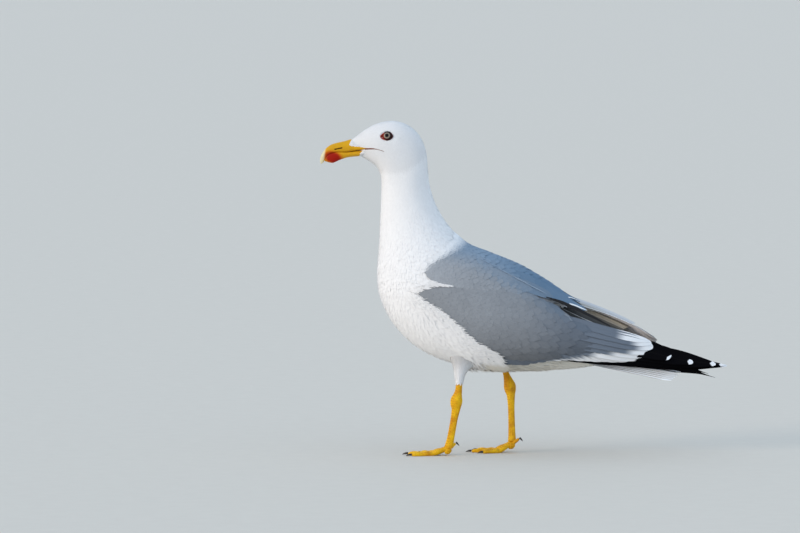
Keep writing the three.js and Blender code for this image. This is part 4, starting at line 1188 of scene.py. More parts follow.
def mantle_size(t, p):
    return np.interp(p[..., 0] - np.interp(p[..., 2], *GREY_FRONT.T), *MANTLE_SIZE)


def lie_back(p):
    """Along the back, and a little down its sides."""
    side = np.sign(p[:, 1]) * np.minimum(np.abs(p[:, 1]) / 40, 1)
    return np.stack([np.full(len(p), 0.9), side * 0.02, np.full(len(p), -0.42)], -1)


def back_colour(x, z):
    """Grey on the shoulders, with painted light at their front, and bluer over the back with painted sky
    reflection.
    """
    return mix(np.array(GREY) * np.interp(x, *SHOULDER_PAINTED_LIGHT)[:, None], back_sky_tint(x), sky_blue_share(x, z))


def mantle_coat():
    piece = Feathers("mantle_coat", 5, 4, 0.2)
    t, a, p = scatter(cloak, mantle_size, mantle_mask, (0.0, 4.8), (-1.7, 1.7))
    order = np.argsort(-t)
    t, a, p = t[order], a[order], p[order]
    x, z, size = p[:, 0], p[:, 2], mantle_size(t, p)
    length = size * 3.3 * RNG.uniform(0.92, 1.08, len(t))
    colour = back_colour(x + 0.4 * length, z - 0.2 * length) * RNG.uniform(0.97, 1.03, (len(t), 1))
    colour = mix(np.array(WHITE), colour, grey_share(x + 0.4 * length, z)[:, None])
    lift = mix(0.2, np.interp(size, *MANTLE_LIFT), ease((above(SADDLE_EDGE, x, z) - 2) / 22))
    cover(piece, cloak, t, a, length, size * 2.3, colour, (-0.5, lift), lie_back, camber=0.06, spin=0.06,
          tip=0.58, point=2.1)
    place_grey(piece)


SLIT_MIDDLE = [-150, -138, -128, -120, -110, -98], [218, 222.5, 226.4, 225.8, 224.4, 223.2]
SLIT_HALF = [-150, -128, -120, -110, -98], [4.5, 4.4, 2.0, 0.7, 0.2]
SLIT_LENGTH = [-150, -96], [12, 8.0]


def slit_coat():
    """White feathers in the slit between the wing and the shoulder feathers."""
    piece, n = Feathers("coat_slit", 5, 2), 420
    for side in (LEFT, RIGHT):
        x = RNG.uniform(-150, -100, n)
        z = np.interp(x, *SLIT_MIDDLE) + RNG.uniform(-1, 1, n) * np.interp(x, *SLIT_HALF)
        t, a = cloak.locate(x, z, side)
        length = np.interp(x, *SLIT_LENGTH) * RNG.uniform(0.8, 1.15, n)
        cover(piece, cloak, t, a, length, length * 0.14, np.tile(WHITE, (n, 1)), (-0.9, 0.7),
              lie_to(1, 0, -0.16), camber=0.06, spin=0.08, tip=0.2, point=1.2, wave=0.05)
    place_white(piece)


mantle_coat()
slit_coat()

# ------------------------------------------------------------------ flight feathers

TERTIAL_HALF = [7.0, 9.0, 10.0, 9.5, 8.0, 7.0]
TERTIALS = {
    # height of the roots, from the top one to the lowest, how far the feathers bow up, and their tips
    "left": dict(roots=(187, 147), bow=-3.0, white=[38, 22, 18, 27, 44, 60],
                 tips=[(161, 148.5), (165.5, 145.5), (167.5, 141), (165, 135.5), (158, 130.5), (148, 125.5)]),
    "right": dict(roots=(197, 148), bow=4.0, white=[24, 26, 30, 36, 42, 46],
                  tips=[(171, 151.5), (173.5, 147.5), (173, 143), (168, 137.5), (160, 132.5), (149, 126.5)]),
}
PRIMARY_ROOT = dict(x=46, z=129, rise=3.8, depth=8.0)
PRIMARY_MIDDLE = {"left": dict(x=142, z=120.5, rise=4.4, depth=5.6),
                  "right": dict(x=142, z=122.5, rise=4.6, depth=8.0)}
PRIMARY_TIPS = {
    "left": [(264.56, -4, 115.2), (260.5, -6.5, 116.2), (249.5, -10.5, 117.6), (219.5, -18, 120.2),
             (189, -25.5, 126)],
    "right": [(251.8, 19, 97.2), (244, 19, 102), (230, 20, 108), (204, 22, 117), (178, 24, 125)],
}
PRIMARY_HALF = [12.3, 12.5, 13.0, 13.5, 14.0]
PRIMARY_LEAN = [0.0, 0.1, 0.2, 0.3, 0.35]
PRIMARY_FACE = {"left": 0.66, "right": 0.22}
PRIMARY_WHITE = {"left": [10, 7, 8.5, 10, 10], "right": [3, 5, 8, 10, 10]}
# the white of the wing's rear lies under this line
WHITE_EDGE = [(34, 126.5), (60, 130.5), (84, 133.0), (107, 137.4), (127, 144.2), (147, 148.6)]
SECONDARY_TIPS = [(-14, 121.0), (-4, 119.8), (10, 120.8), (41, 127.0), (64, 128.2), (138, 123.6)]
SECONDARY_COUNT, SECONDARY_FIRST, SECONDARY_LAST = 15, 138, -14
SECONDARY_WHITE = [34, 46], [0.0, 1.0]
# painted shade: how light the grey of the secondaries and tertials is, darker for the shade on the folded
# wing
SECONDARY_SHADED_TONE = [-14, 20, 60, 138], [0.54, 0.52, 0.56, 0.60]
TERTIAL_SHADED_TONE, TERTIAL_ROOT_X = 0.61, 38


def make_primaries(name):
    piece = Feathers(f"primaries_{name}", 60, 16, 0.5, 0.5)
    side, face = SIDES[name], PRIMARY_FACE[name]
    for i, tip in enumerate(PRIMARY_TIPS[name]):
        places, leans = [], []
        for s in (PRIMARY_ROOT, PRIMARY_MIDDLE[name]):
            t, a = cloak.locate(s["x"], s["z"] + s["rise"] * i, side)
            places.append(cloak.point(t, a, 0.7 * i - s["depth"]))
            leans.append(cloak.normal(t, a))
        normals = unit(arch([*leans, (0, side * face, math.sqrt(1 - face * face))]))
        tip_start, point = (0.72, 2.0) if i > 1 else (0.5, 1.8)
        long_vane(piece, arch([*places, tip]), normals, PRIMARY_HALF[i], bake_slot(i, 5),
                  (1, PRIMARY_WHITE[name][i] / 100, 1), side * 0.24, tip_start, 0.7, point,
                  -side * PRIMARY_LEAN[i], 0.12, chance=0.15 + 0.17 * i)
    place_piece(piece.build(), primary_paint, "plumage_grey")


def white_reach(points):
    """How many mm of a feather's end lie in the white."""
    fine = np.linspace(0, len(points) - 1, 200)
    x, z = (np.interp(fine, np.arange(len(points)), points[:, k]) for k in (0, 2))
    length = np.hypot(np.diff(x), np.diff(z)).sum()
    return max(1.6, length * float((above(WHITE_EDGE, x, z) < 0).mean()) + 8.0)


def make_secondaries(name):
    piece, side = Feathers(f"secondaries_{name}", 30, 10, soften=1.0), SIDES[name]
    for i in range(SECONDARY_COUNT):
        x = mix(SECONDARY_FIRST, SECONDARY_LAST, i / (SECONDARY_COUNT - 1))
        z = np.interp(x, *np.array(SECONDARY_TIPS).T) + RNG.normal(0, 0.4)
        points, normals = cloak_path(side, (x - 62, z + 31), (x, z), -3.0, -2.0 + 0.05 * i, bow=-2.5)
        mark = (np.interp(x, *SECONDARY_WHITE), white_reach(points) / 100, np.interp(x, *SECONDARY_SHADED_TONE))
        long_vane(piece, points, normals, 9.5, bake_slot(i, SECONDARY_COUNT), mark, side * 0.02, root=0.6,
                  point=2.1, camber=0.02)
    place_piece(piece.build(), secondary_paint, "plumage_grey")


def make_tertials(name):
    piece, side, rank = Feathers(f"tertials_{name}", 30, 10, soften=1.0), SIDES[name], TERTIALS[name]
    count = len(rank["tips"])
    for i, (tip, white) in enumerate(zip(rank["tips"], rank["white"])):
        f = i / (count - 1)
        root, bow = (TERTIAL_ROOT_X, mix(*rank["roots"], f)), rank["bow"] * (1 - f)
        points, normals = cloak_path(side, root, tip, -2.4, 0.3 - 0.1 * i, bow=bow)
        long_vane(piece, points, normals, TERTIAL_HALF[i], bake_slot(i, count),
                  (1, white / 100, TERTIAL_SHADED_TONE), side * 0.045, tip=0.66, root=0.6, point=2.2, camber=0.02)
    place_piece(piece.build(), tertial_paint, "plumage_grey")


SCAPULARS = [((-20, 238), (80, 187.8)), ((-26, 246), (73, 197.5)), ((-44, 251), (58, 203)),
             ((-60, 258), (40, 212)), ((-40, 240), (42, 204)), ((-62, 247), (22, 212)),
             ((-86, 254), (2, 222))]
WHITE_EDGES = [((46, 202), (81, 186.6), 1.5), ((50, 207.5), (72, 197.6), 1.2)]
# a painted highlight: the pale lit edge where the shoulder feathers meet those of the back
HIGHLIGHT_EDGE_TONE, PALE_STEPS, PALE_START, PALE_END = (0.33, 0.40, 0.49), 4, (-52, 252.5), (28, 209.5)


def make_scapulars():
    """The long rear feathers of the shoulders, over the tertials."""
    piece = Feathers("scapulars", 24, 8, 0.3, 0.8)
    per_side = len(SCAPULARS) + PALE_STEPS + len(WHITE_EDGES)
    for side in (LEFT, RIGHT):
        slots = [bake_slot(i + (per_side if side == RIGHT else 0), 2 * per_side) for i in range(per_side)]
        for i, (root, tip) in enumerate(SCAPULARS):
            points, normals = cloak_path(side, root, tip, -1.6, 1.2 - 0.08 * i)
            x, _, z = points[5]
            colour = back_colour(np.array([x]), np.array([z]))[0] * RNG.uniform(0.98, 1.02)
            long_vane(piece, points, normals, 9.0, slots[i], colour, -side * 0.04, 0.5, point=2.0,
                      camber=0.06)
        for i, (root, tip, half) in enumerate(WHITE_EDGES):
            points, normals = cloak_path(side, root, tip, -0.5, 2.3)
            long_vane(piece, points, normals, half, slots[len(SCAPULARS) + PALE_STEPS + i], WHITE, tip=0.7,
                      root=0.1, point=1.6, camber=0.06)
        # the painted highlight, in steps from the back's blue to the pale edge
        for i in range(PALE_STEPS):
            starts, ends = (mix(a, b, np.array([i - 0.35, i + 1.0]) / PALE_STEPS)
                            for a, b in zip(PALE_START, PALE_END))
            points, normals = cloak_path(side, (starts[0], ends[0]), (starts[1], ends[1]), 1.7, 2.25)
            tone = mix(np.array(FRONT_SKY_BLUE), np.array(HIGHLIGHT_EDGE_TONE), min(1.0, 0.4 + 0.3 * i))
            long_vane(piece, points, normals, min(0.6, 0.35 + 0.12 * i), slots[len(SCAPULARS) + i], tone,
                      tip=0.4, root=0.2, point=1.6)
    place_grey(piece)


for name in SIDES:
    make_primaries(name)
    make_secondaries(name)
    make_tertials(name)
make_scapulars()

# the feathers in the gap between the wings, in painted light and shade: the dark tones are painted shadow,
# the cream and grey ones warm light on them
GAP_LIGHT_AND_SHADE = [(0.60, 0.61, 0.63), (0.52, 0.52, 0.53), (0.42, 0.40, 0.37), (0.22, 0.20, 0.17),
             (0.56, 0.51, 0.42), (0.40, 0.35, 0.28), (0.11, 0.095, 0.08), (0.05, 0.045, 0.04),
             (0.04, 0.04, 0.04), (0.42, 0.42, 0.42), (0.03, 0.03, 0.03)]
GAP_LINE = 9
# ends of the first and of the last of these feathers, and which way they all face
GAP_Y, GAP_START, GAP_END, GAP_BOW = (31, -34), ((30, 210), (22, 204)), ((146, 168), (120, 158)), (2.0, -2.5)
GAP_UP, SHADOW_UP, INNER_FACING = (0.25, -0.55, 0.8), (0.2, -0.8, 0.5), (-0.5, -0.7, 0.6)
# the inner faces of the right wing's tertials, seen from the left past the back, pale with painted light that
# shines through them
LIT_INNER_FACES = [((60, 205.5), (173.5, 153.5), 5, (0.97, 0.97, 1)),
               ((70, 198), (174.5, 149.5), 6, (0.97, 0.97, 1)),
               ((80, 189), (172.5, 145), 6, (0.97, 0.95, 0.96)),
               ((84, 180), (160, 146), 6, (0.84, 0.80, 0.76))]
# a painted shadow: a near-black vane along the near wing's upper edge
SHADOW_SLIT, SHADOW_TONE = [(28, -42, 207), (64, -37.5, 193), (112, -30, 168)], (0.012, 0.012, 0.014)


def facing(way, points):
    return np.tile(unit(np.array(way)), (len(points), 1))


def gap_feathers_and_shadow():
    """Feathers of the lower back, seen in the gap between the two folded wings, in painted light and shade,
    and a vane of painted shadow.
    """
    piece, count = Feathers("gap_feathers_and_shadow", 20, 6, 0.3, 0.5), len(GAP_LIGHT_AND_SHADE)
    slots = [bake_slot(i, count + len(LIT_INNER_FACES) + 1) for i in range(count + len(LIT_INNER_FACES) + 1)]
    for i, tone in enumerate(GAP_LIGHT_AND_SHADE):
        f = i / (count - 1)
        y = mix(*GAP_Y, f)
        (x0, z0), (x1, z1) = (mix(np.array(a), np.array(b), f) for a, b in (GAP_START, GAP_END))
        start, end = np.array([x0, y, z0]), np.array([x1, 0.8 * y, z1])
        points = arch([start, (start + end) / 2 + np.array([0, 0, mix(*GAP_BOW, f)]), end])
        half = 1.0 if i == GAP_LINE else mix(6.5, 4.0, f)
        long_vane(piece, points, facing(GAP_UP, points), half, slots[i], tone, tip=0.5, camber=0.12)
    for i, (root, tip, half, tone) in enumerate(LIT_INNER_FACES):
        points, normals = cloak_path(RIGHT, root, tip, -4.2 - 0.4 * i, -1.4 - 0.5 * i, bow=3.0)
        long_vane(piece, points, -normals, half, slots[count + i], tone, facing=INNER_FACING)
    # the vane of painted shadow
    points = arch(SHADOW_SLIT)
    long_vane(piece, points, facing(SHADOW_UP, points), 2.6, slots[-1], SHADOW_TONE, tip=0.3)
    place_grey(piece)


gap_feathers_and_shadow()

# ------------------------------------------------------------------ tail

TAIL = dict(root=(58, 130), tip=(204.5, 106.0), centre=11.9, spread=2.9, shortening=2.6, drop=1.6, half=8.0,
            roof=0.034, pairs=6)
RUMP = Slanted([
    [40, 146, 40, 122, 12, 0], [54, 139.5, 54, 121, 14, 0], [70, 135.5, 70, 118.5, 16, 0],
    [90, 132, 90, 116, 18, 0], [108, 126.5, 108, 113.5, 18.5, 0], [124, 119.5, 124, 111.5, 17, 0],
    [140, 115.5, 140, 110, 15, 0],
])
RUMP_DEPTH, RUMP_GAP = 1.6, 3.4


def make_tail():
    piece = Feathers("tail_feathers", 26, 10, 0.5, 0.8)
    for i in range(TAIL["pairs"]):
        for side in (LEFT, RIGHT):
            central = i == 0
            down = TAIL["drop"] * (-0.8 if central and side == LEFT else i)
            out = TAIL["centre"] / 2.4 if central else TAIL["centre"] + TAIL["spread"] * (i - 1)
            start = np.array([TAIL["root"][0], side * out * 0.32, TAIL["root"][1] - 0.7 * down])
            end = np.array([TAIL["tip"][0] - TAIL["shortening"] * i, side * out, TAIL["tip"][1] - down])
            points = arch([start, (start + end) / 2 + np.array([0, 0, 1.0]), end])
            lean = 0.02 if central else 0.08 + TAIL["roof"] * i
            normals = np.tile([0.13, side * math.sin(lean), math.cos(lean)], (len(points), 1))
            slot = bake_slot(2 * i + (side == RIGHT), 2 * TAIL["pairs"])
            long_vane(piece, points, normals, TAIL["half"], slot, tip=0.84, root=0.35, point=2.0,
                      facing=(-0.8, side * 0.65, 0.5))
    place_piece(piece.build(), tail_paint, "plumage_white", "tail")


def make_rump():
    rump = join("rump_base", [RUMP.tube(40, 40, -RUMP_DEPTH)])
    add_attribute(rump, "mark", np.ones((len(rump.data.vertices), 4)))
    place_piece(rump, skin_paint, "plumage_white")
    piece = Feathers("coat_rump", 4, 2, 0.2, 0.0)
    t, a, _ = scatter(RUMP, lambda t, p: np.full(np.shape(t), RUMP_GAP), t_range=(0, RUMP.last - 0.3),
                      cells=(90, 70))
    n = len(t)
    length = np.interp(t, [0, RUMP.last], [17, 23]) * RNG.uniform(0.85, 1.15, n)
    cover(piece, RUMP, t, a, length, length * 0.34, np.tile(WHITE, (n, 1)), (-1.2, 0.4), camber=0.07,
          curl=RNG.random(n) * 0.6, spin=0.1, tip=0.35, point=1.6, wave=0.05)
    place_white(piece)


make_tail()
make_rump()

# ------------------------------------------------------------------ bill

UPPER_BILL = Mandible([
    [-200, 399.6, -200, 398.4, 16.6, 0], [-205, 399.6, -205, 397.4, 15.4, 0],
    [-211, 401.6, -211, 395.9, 13.2, 0], [-218.5, 406.4, -217.5, 394.9, 9.9, 0.1],
    [-224.3, 409.3, -222, 394.2, 8.2, 0.16], [-233, 407.1, -231, 393, 6.9, 0.2],
    [-243, 404.9, -241, 393, 6, 0.2], [-250.5, 402.4, -248.8, 391.8, 5.2, 0.16],
    [-256.8, 398, -253.8, 389.3, 4.3, 0.1], [-261.3, 392.5, -256.9, 386, 3.3, 0.05],
    [-263.8, 387.4, -258.2, 383.2, 2.5, 0], [-264.7, 382.2, -260, 380.2, 1.7, 0],
    [-263.9, 377.4, -262.5, 377.9, 0.5, 0],
], -1)
LOWER_BILL = Mandible([
    [-203, 396.8, -204, 391.5, 13.6, 0], [-213, 395.2, -212.6, 387.9, 10.6, 0],
    [-222, 393.8, -221.5, 386.9, 7.9, -0.1], [-231, 393, -230, 385.7, 6.3, -0.1],
    [-241, 393.4, -239.6, 382.4, 5.4, -0.1], [-248.9, 392.6, -247.6, 378.9, 4.5, 0],
    [-254.3, 390.6, -252.6, 379.3, 3.5, 0], [-257.6, 386.8, -255.9, 380.2, 2.5, 0],
    [-259.3, 382.6, -258.2, 380.9, 0.8, 0],
], 1)
NOSTRIL, NOSTRIL_HALF, NOSTRIL_DEPTH = [(-245.3, 396.5), (-236.3, 398.5)], 1.15, 1.9
LIP_PLACE, LIP_HALF, LIP_HEIGHT = 1.7, 0.6, 0.12


def horn(half, surface, has_nostril):
    t, a = surface.places(190, 84)
    base = surface.bare(t, a)
    slit = away_from(NOSTRIL, base[..., 0], base[..., 2])
    hollow = ease(1 - slit / NOSTRIL_HALF) * has_nostril
    lip = np.exp(-((slit - LIP_PLACE) / LIP_HALF) ** 2) * LIP_HEIGHT * has_nostril
    obj = join(f"bill_horn_{half}", [closed_tube(surface.point(t, a, lip - NOSTRIL_DEPTH * hollow))])
    add_attribute(obj, "hollow", with_ends(hollow.ravel()))
    place_piece(obj, bill_paint, "bill", f"bill_{half}")


def cord(path, radius, around=14):
    """A closed tube round a path of points, with a radius at each."""
    tangent = unit(np.gradient(path, axis=0))
    side = unit(np.cross(tangent, np.array([0.0, 0.1, 1.0])))
    other = np.cross(tangent, side)
    a = turns(around)[None, :, None]
    r = radius[:, None, None]
    return closed_tube(path[:, None] + r * (side[:, None] * np.cos(a) + other[:, None] * np.sin(a)))


MOUTH_SPAN, MOUTH_RADIUS, SMOOTHING = (-258.9, -206.5), 0.3, 9


def make_mouth():
    """The dark line between the mandibles, a painted shadow in their seam, and the corner of the mouth behind
    them.
    """
    cords = []
    for side in (LEFT, RIGHT):
        # the painted shadow in the seam between the mandibles
        s = np.linspace(0, 1, 90)
        x = mix(*MOUTH_SPAN, s)
        z = np.pad(np.interp(x, *np.array(MOUTH).T), SMOOTHING // 2, mode="edge")
        z = np.convolve(z, np.ones(SMOOTHING) / SMOOTHING, mode="valid")
        widths = [np.abs(half.bare(*half.locate(x, z))[:, 1]) for half in (UPPER_BILL, LOWER_BILL)]
        path = np.stack([x, side * (np.max(widths, axis=0) - 0.15), z], -1)
        cords.append(cord(path, MOUTH_RADIUS * np.minimum(1, 6 * s + 0.3)))
        s = np.linspace(0, 1, 50)
        path = coat.point(*coat.locate(*along(GAPE, 3 * s).T, side), -0.25)
        cords.append(cord(path, mix(1.0, MOUTH_RADIUS, ease(s * 1.3)) * np.minimum(1, 8 * (1 - s) + 0.3)))
    place_piece(join("mouth_line", cords), gape_and_seam_shadow_paint, "bill")


# the small feathers that run forward over the sides of the bill's root, and those of the chin
FEATHER_FRONT = [(-223.2, 412), (-224.2, 409.3), (-226.2, 405), (-227.3, 402.3), (-224.1, 401),
                 (-216.7, 400.4), (-206, 399.2), (-196, 399.2), (-196, 412)]
CHIN_FRONT = [(-205.5, 396.4), (-210.3, 394.5), (-213.2, 391.5), (-213.9, 388.5), (-213.9, 384),
              (-200, 384), (-200, 396.4)]
# surface, gap, area, range of sections, cells, lengths, width, how far down they lie, tip height,
# # tone of painted shade, map
BILL_FEATHERS = [
    (UPPER_BILL, 0.78, FEATHER_FRONT, (0.9, 5.2), (160, 160), (2.6, 3.8), 0.42, 0.12, 0.35, 0.86, LEFT_MAP),
    (LOWER_BILL, 0.8, CHIN_FRONT, (0.0, 2.0), (120, 160), (2.4, 3.4), 0.5, -0.3, 0.4, 0.9, RIGHT_MAP),
]


def bill_feathers():
    piece = Feathers("coat_bill_root", 3, 2, 0.1)
    for surface, gap, front, span, cells, lengths, wide, down, high, tone, region in BILL_FEATHERS:
        t, a, _ = scatter(surface, lambda t, p: np.full(np.shape(t), gap),
                          lambda t, p: inside(front, p[..., 0], p[..., 2]), span, cells=cells)
        length = RNG.uniform(*lengths, len(t))
        # painted shade, to match the face's
        colour = np.tile(np.array(WHITE) * tone, (len(t), 1))
        cover(piece, surface, t, a, length, length * wide, colour, (0.0, high), lie_to(1, 0, down),
              region=region)
    place_white(piece)


horn("upper", UPPER_BILL, True)
horn("lower", LOWER_BILL, False)
make_mouth()
bill_feathers()

# ------------------------------------------------------------------ eyes

EYE_LEAN = (-0.08, 0, -0.06)
CORNEA_RISE, CORNEA_REACH, POLE = 0.18, 0.62, 0.02
OUT_OF_SIGHT = 20.0


def make_eye(name):
    t, a = body.locate(*EYE_PLACE, SIDES[name])
    centre = body.point(t, a, -EYE_SUNK)
    axis = unit(body.normal(t, a) + np.array(EYE_LEAN))
    up = unit(np.array([0, 0, 1.0]) - axis * axis[2])
    other = np.cross(axis, up)
    polar, around = grid(np.linspace(POLE, np.pi - POLE, 90), turns(72))
    radius = EYE_RADIUS + CORNEA_RISE * ease(1 - polar / CORNEA_REACH)
    ring = np.sin(polar)[..., None] * (up * np.cos(around)[..., None] + other * np.sin(around)[..., None])
    points = centre + radius[..., None] * (axis * np.cos(polar)[..., None] + ring)
    obj = join(f"eyeball_{name}", [closed_tube(points)])
    away = np.where(polar < np.pi / 2, EYE_RADIUS * np.sin(polar), OUT_OF_SIGHT)
    values = np.stack([away, np.cos(around) * 3, np.sin(around) * 3], -1).reshape(-1, 3)
    add_attribute(obj, "feather", with_ends(values, [[0, 0, 0], [OUT_OF_SIGHT, 0, 0]]))
    place_piece(obj, eye_paint, "eye", f"eye_{name}")


def make_rim(name):
    """The red ring of bare skin round the eye."""
    a = np.linspace(0, 2 * np.pi, 121)
    forward = np.maximum(-np.cos(a), 0)
    reach = np.where(np.cos(a) < 0, RIM_FRONT, RIM_REAR) - 0.4
    pinch = 1 - 0.16 * np.abs(np.cos(a)) ** 6
    x = EYE_PLACE[0] + reach * np.cos(a) * (1 + 0.06 * forward ** 8)
    z = RIM_Z + (RIM_HALF - 0.5) * np.sin(a) * pinch + 0.4 * forward * -1.2
    place = body.locate(x, z, SIDES[name])
    path, normal = body.point(*place, -0.15), body.normal(*place)
    thick = mix(0.26, 0.6, np.abs(np.cos(a)) ** 2)[:, None]
    outward = unit(path - path[:-1].mean(0))
    rings = [path + thick * (outward * np.cos(turn) + normal * np.sin(turn)) for turn in turns(12)]
    rings = np.stack(rings, 1)[:-1]
    rows, around = rings.shape[:2]
    quads = grid_faces(rows + 1, around, wrap=True) % (rows * around)
    place_piece(turn_out(make_mesh(f"eye_rim_{name}", rings, quads)), lid_paint, "eye")


for name in SIDES:
    make_eye(name)
    make_rim(name)

# ------------------------------------------------------------------ legs

SHANKS = {
    "left": [[-84.1, -34.2, 99, 4, 3.5], [-85, -34.6, 86, 4.4, 3.7], [-86.2, -34.7, 79.5, 5.6, 4.6],
             [-87.6, -34.6, 73.5, 7.6, 5.9], [-88.3, -34, 67, 7.3, 5.8], [-88.6, -33.4, 60.5, 5.6, 4.4],
             [-90.6, -32, 49, 4.6, 3.3], [-93.2, -30, 34, 4.5, 3.2], [-95.8, -28, 20, 4.8, 3.6],
             [-97.8, -26.6, 10.8, 5.6, 5.2]],
    "right": [[-26.4, 32, 113.5, 3.2, 3], [-22.4, 31.6, 101.5, 4, 3.5], [-19.8, 31.4, 93.5, 5.8, 4.6],
              [-17.8, 31, 86.5, 7.7, 5.9], [-16.9, 30.6, 80, 7.2, 5.8], [-16.2, 29.4, 73.5, 5.4, 4.3],
              [-15.8, 26.5, 60, 4.3, 3.2], [-15.4, 22, 42, 4.2, 3.1], [-15, 18.2, 24, 4.6, 3.5],
              [-14.8, 16.6, 14.6, 5.4, 5]],
}
FEET = {
    "left": dict(heel=(-98.8, -26.0, 6.6), lift=5.6, yaw=0.12),
    "right": dict(heel=(-15.6, 16.0, 9.6), lift=8.0, yaw=0.0),
}
TOES = {"inner": (0.42, 41.0), "middle": (0.0, 52.0), "outer": (-0.4, 49.0)}
TOE_RADIUS = 3.3
HALLUX = [[2.5, 1.5, 3, 2.4], [6.6, 3, 6, 2.1], [9.4, 4, 8.6, 1.6]]
CLAW_SHAPE = [[0, 2.3, 1.55, 1.35], [0.3, 2.3, 1.4, 1.2], [0.65, 1.8, 0.95, 0.85], [1, 0.75, 0.3, 0.3]]
SWELLING = [1.25, 1, 1.12, 0.92, 1.05, 0.88, 0.98, 0.72]
# the ball where the toes meet the shank
BALL = [[2.5, 0, 4.5, 2, 2], [0.8, 0, 2, 5, 4.8], [-1.5, 0, -0.6, 5.2, 5.2], [-4.5, 0, -2.6, 3, 3.6]]
SHANK_PITCH, BACK_PITCH, TOE_PITCH = 3.3, 2.4, 2.3
SCUTE_DEPTH, BACK_DEPTH, TOE_SCUTE_DEPTH, TENDON_DEPTH = 0.34, 0.3, 0.26, 0.35
WEBS = {"inner": ("middle", "inner"), "outer": ("outer", "middle")}


def grooves(run, pitch, share):
    """Shallow grooves between scutes: how deep at each place, from 0 to 1."""
    place = np.abs(np.mod(run / pitch, 1.0) - 0.5) * 2
    return ease((place - 0.72) / 0.28) * share


def leg_piece(name, tubes, values, replaced):
    obj = join(name, tubes)
    add_attribute(obj, "groove", np.concatenate(values))
    place_piece(obj, leg_paint, "leg", replaced)


def make_shank(name):
    limb = Limb(SHANKS[name])
    t, a = limb.places(260, 56)
    height, aside = limb.bare(t, a)[..., 2], np.abs(np.sin(a))
    cut = grooves(height + 0.25 * aside * 4, SHANK_PITCH, ease((np.cos(a) - 0.25) / 0.4))
    back = grooves(height + 1.1, BACK_PITCH, ease((-np.cos(a) - 0.55) / 0.3)) * 0.5
    tendon = TENDON_DEPTH * np.exp(-((aside - 0.95) / 0.12) ** 2) * ease((78 - height) / 20)
    points = limb.point(t, a, 0.12 - SCUTE_DEPTH * cut - BACK_DEPTH * back - tendon)
    leg_piece(f"leg_{name}", [closed_tube(points)], [with_ends((cut + back).ravel())], f"shank_{name}")


def ahead(name, bearing, distance, height):
    """Places at a distance from the heel, on a bearing from straight ahead."""
    (x, y, _), turn = FEET[name]["heel"], bearing + FEET[name]["yaw"]
    aside = SIDES[name] * distance * np.sin(turn)
    return np.stack(np.broadcast_arrays(x - distance * np.cos(turn), y - aside, height), -1)


def from_heel(name, rows):
    """Rows of a limb that are given from the heel, outwards from the bird's middle."""
    x, y, z = FEET[name]["heel"]
    return Limb([[x + dx, y - SIDES[name] * dy, z + dz, tall, wide] for dx, dy, dz, tall, wide in rows])


def make_toe(name, bearing, length):
    """The tube of one toe, and the depth of its grooves."""
    rows = []
    for i, share in enumerate(SWELLING):
        s = i / (len(SWELLING) - 1)
        radius = TOE_RADIUS * share * (1 - 0.14 * s)
        height = radius - 0.5 + FEET[name]["lift"] * (1 - ease(s * 2.1))
        rows.append([*ahead(name, bearing, length * s, height), radius, radius * 1.1])
    limb = Limb(rows)
    t, a = limb.places(120, 36)
    up, s = limb.normal(t, a)[..., 2], t / limb.last
    cut = grooves(s * length, TOE_PITCH, ease((up - 0.2) / 0.5))
    end = ease(s * 14) * ease((1 - s) * 16)
    points = limb.point(t, a, -TOE_SCUTE_DEPTH * cut - 0.9 * (1 - end))
    points[..., 2] = np.maximum(points[..., 2], 0.02 * ease((-up - 0.7) / 0.3))
    return closed_tube(points), with_ends(cut.ravel())


def make_foot(name):
    tubes, values = zip(*(make_toe(name, *toe) for toe in TOES.values()))
    hallux = from_heel(name, [[x, y, z, r, r] for x, y, z, r in HALLUX]).tube(40, 28)
    tubes = [*tubes, hallux, from_heel(name, BALL).tube(40, 32)]
    values = [*values, *(np.zeros(len(points)) for points, _, _ in tubes[-2:])]
    leg_piece(f"toes_{name}", tubes, values, f"foot_{name}")


def make_web(label, name):
    (from_bearing, from_length), (to_bearing, to_length) = (TOES[toe] for toe in WEBS[label])

    def face(u, v, top):
        scallop = 0.97 - 0.13 * np.sin(np.pi * v)
        reach = mix(from_length, to_length, v) * scallop * mix(0.08, 1, u)
        fold = 0.28 * np.sin(v * np.pi * 5 + 1.2 * np.sin(u * 5)) * np.sin(np.pi * v) * u
        height = 0.45 + 0.8 * FEET[name]["lift"] * (1 - ease(u * 2.1)) + 0.15 + fold * 0.5
        height = np.maximum(height, 0.25) + (mix(1.2, 0.45, u) if top else 0.0)
        return ahead(name, mix(from_bearing, to_bearing, v), reach, height)

    place_piece(plate(f"web_{label}_{name}", face, 70, 50), web_paint, "leg")


def make_claw(name, toe, limb):
    place_piece(join(f"nail_{toe}_{name}", [limb.tube(50, 28)]), claw_paint, "claw", f"claw_{name}_{toe}")


def make_claws(name):
    for toe, (bearing, length) in TOES.items():
        make_claw(name, toe, Limb([[*ahead(name, bearing, length + 0.2 + s * 7.5, z), tall, wide]
                                   for s, z, tall, wide in CLAW_SHAPE]))
    x, y, z, _ = HALLUX[-1]
    make_claw(name, "hallux", from_heel(name, [
        [x + 1.1 + s * 4.2, y + 0.4, z + 1.4 - 3.2 * s - 1.4 * s * s, tall * 0.85, wide * 0.85]
        for s, _, tall, wide in CLAW_SHAPE]))


for name in SHANKS:
    make_shank(name)
for name in SIDES:
    make_foot(name)
    for label in WEBS:
        make_web(label, name)
    make_claws(name)

# ------------------------------------------------------------------ floor, light and camera

FLOOR_STEPS, FLOOR_REACH = 96, [300, 2000, 12000, 90000]
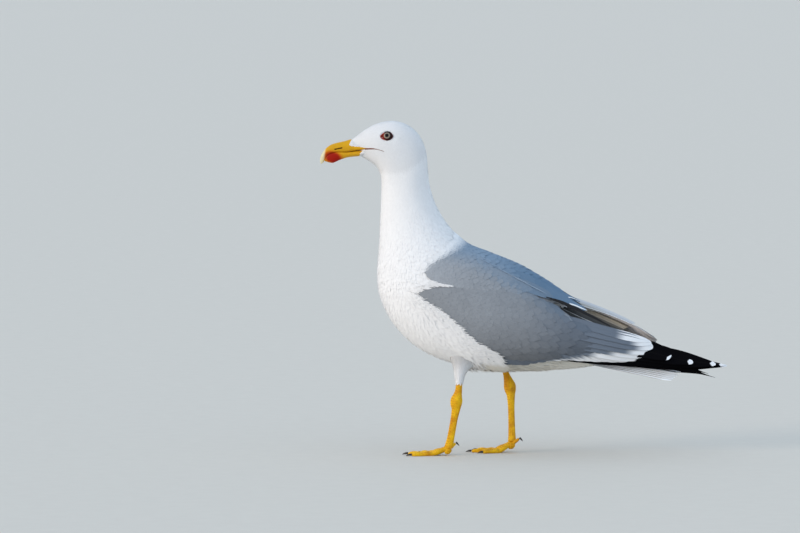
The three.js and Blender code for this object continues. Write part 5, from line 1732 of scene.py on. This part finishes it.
# the direction that each soft light comes from, its angle in degrees, power and colour
LAMPS = {
    "key": ((-0.84, -0.46, 0.25), 30, 1.85, (1.0, 0.87, 0.74)),
    "sky": ((0.25, 0.1, 1.0), 150, 1.2, (0.48, 0.74, 1.0)),
    "fill": ((0.5, -0.8, 0.3), 120, 0.3, (0.85, 0.92, 1.0)),
}
WORLD_COLOUR, WORLD_STRENGTH = (0.80, 0.86, 0.95, 1.0), 0.6
TARGET, DISTANCE, TILT = Vector((-0.161, 0.0, 0.244)), 8, math.radians(3.5)
SENSOR, LENS = 36.0, 277.0


def make_floor():
    """A flat round floor, large enough to fill the view from any side."""
    a, j = turns(FLOOR_STEPS), np.arange(FLOOR_STEPS)
    ring = np.stack([np.cos(a), np.sin(a), 0 * a], -1)
    points = np.concatenate([[[0, 0, 0]], (np.array(FLOOR_REACH)[:, None, None] * ring).reshape(-1, 3)])
    middle = np.stack([0 * j, 1 + j, 1 + (j + 1) % FLOOR_STEPS], -1)
    rings = grid_faces(len(FLOOR_REACH), FLOOR_STEPS, wrap=True)[:, ::-1] + 1
    floor = make_mesh("studio_floor", points, [middle, rings])
    floor.data.materials.append(grained("studio_floor", FLOOR_SANDS, 40.0, 0.8, gloss=0.2))


def make_lamp(name, source, spread, power, color):
    data = bpy.data.lights.new(name, "SUN")
    data.angle, data.energy, data.color = math.radians(spread), power, color
    link(name, data).rotation_euler = Vector(source).to_track_quat("Z", "Y").to_euler()


def make_world():
    world = bpy.data.worlds.new("studio")
    world.use_nodes = True
    background = world.node_tree.nodes["Background"]
    background.inputs["Color"].default_value = WORLD_COLOUR
    background.inputs["Strength"].default_value = WORLD_STRENGTH
    bpy.context.scene.world = world


def make_camera():
    data = bpy.data.cameras.new("camera")
    data.sensor_width, data.lens = SENSOR, LENS
    camera = link("camera", data)
    camera.location = TARGET + Vector((0, -DISTANCE * math.cos(TILT), DISTANCE * math.sin(TILT)))
    camera.rotation_euler = (TARGET - camera.location).to_track_quat("-Z", "Y").to_euler()
    bpy.context.scene.camera = camera


make_floor()
for name, settings in LAMPS.items():
    make_lamp(name, *settings)
make_world()
make_camera()
bpy.context.scene.view_settings.view_transform = "Standard"
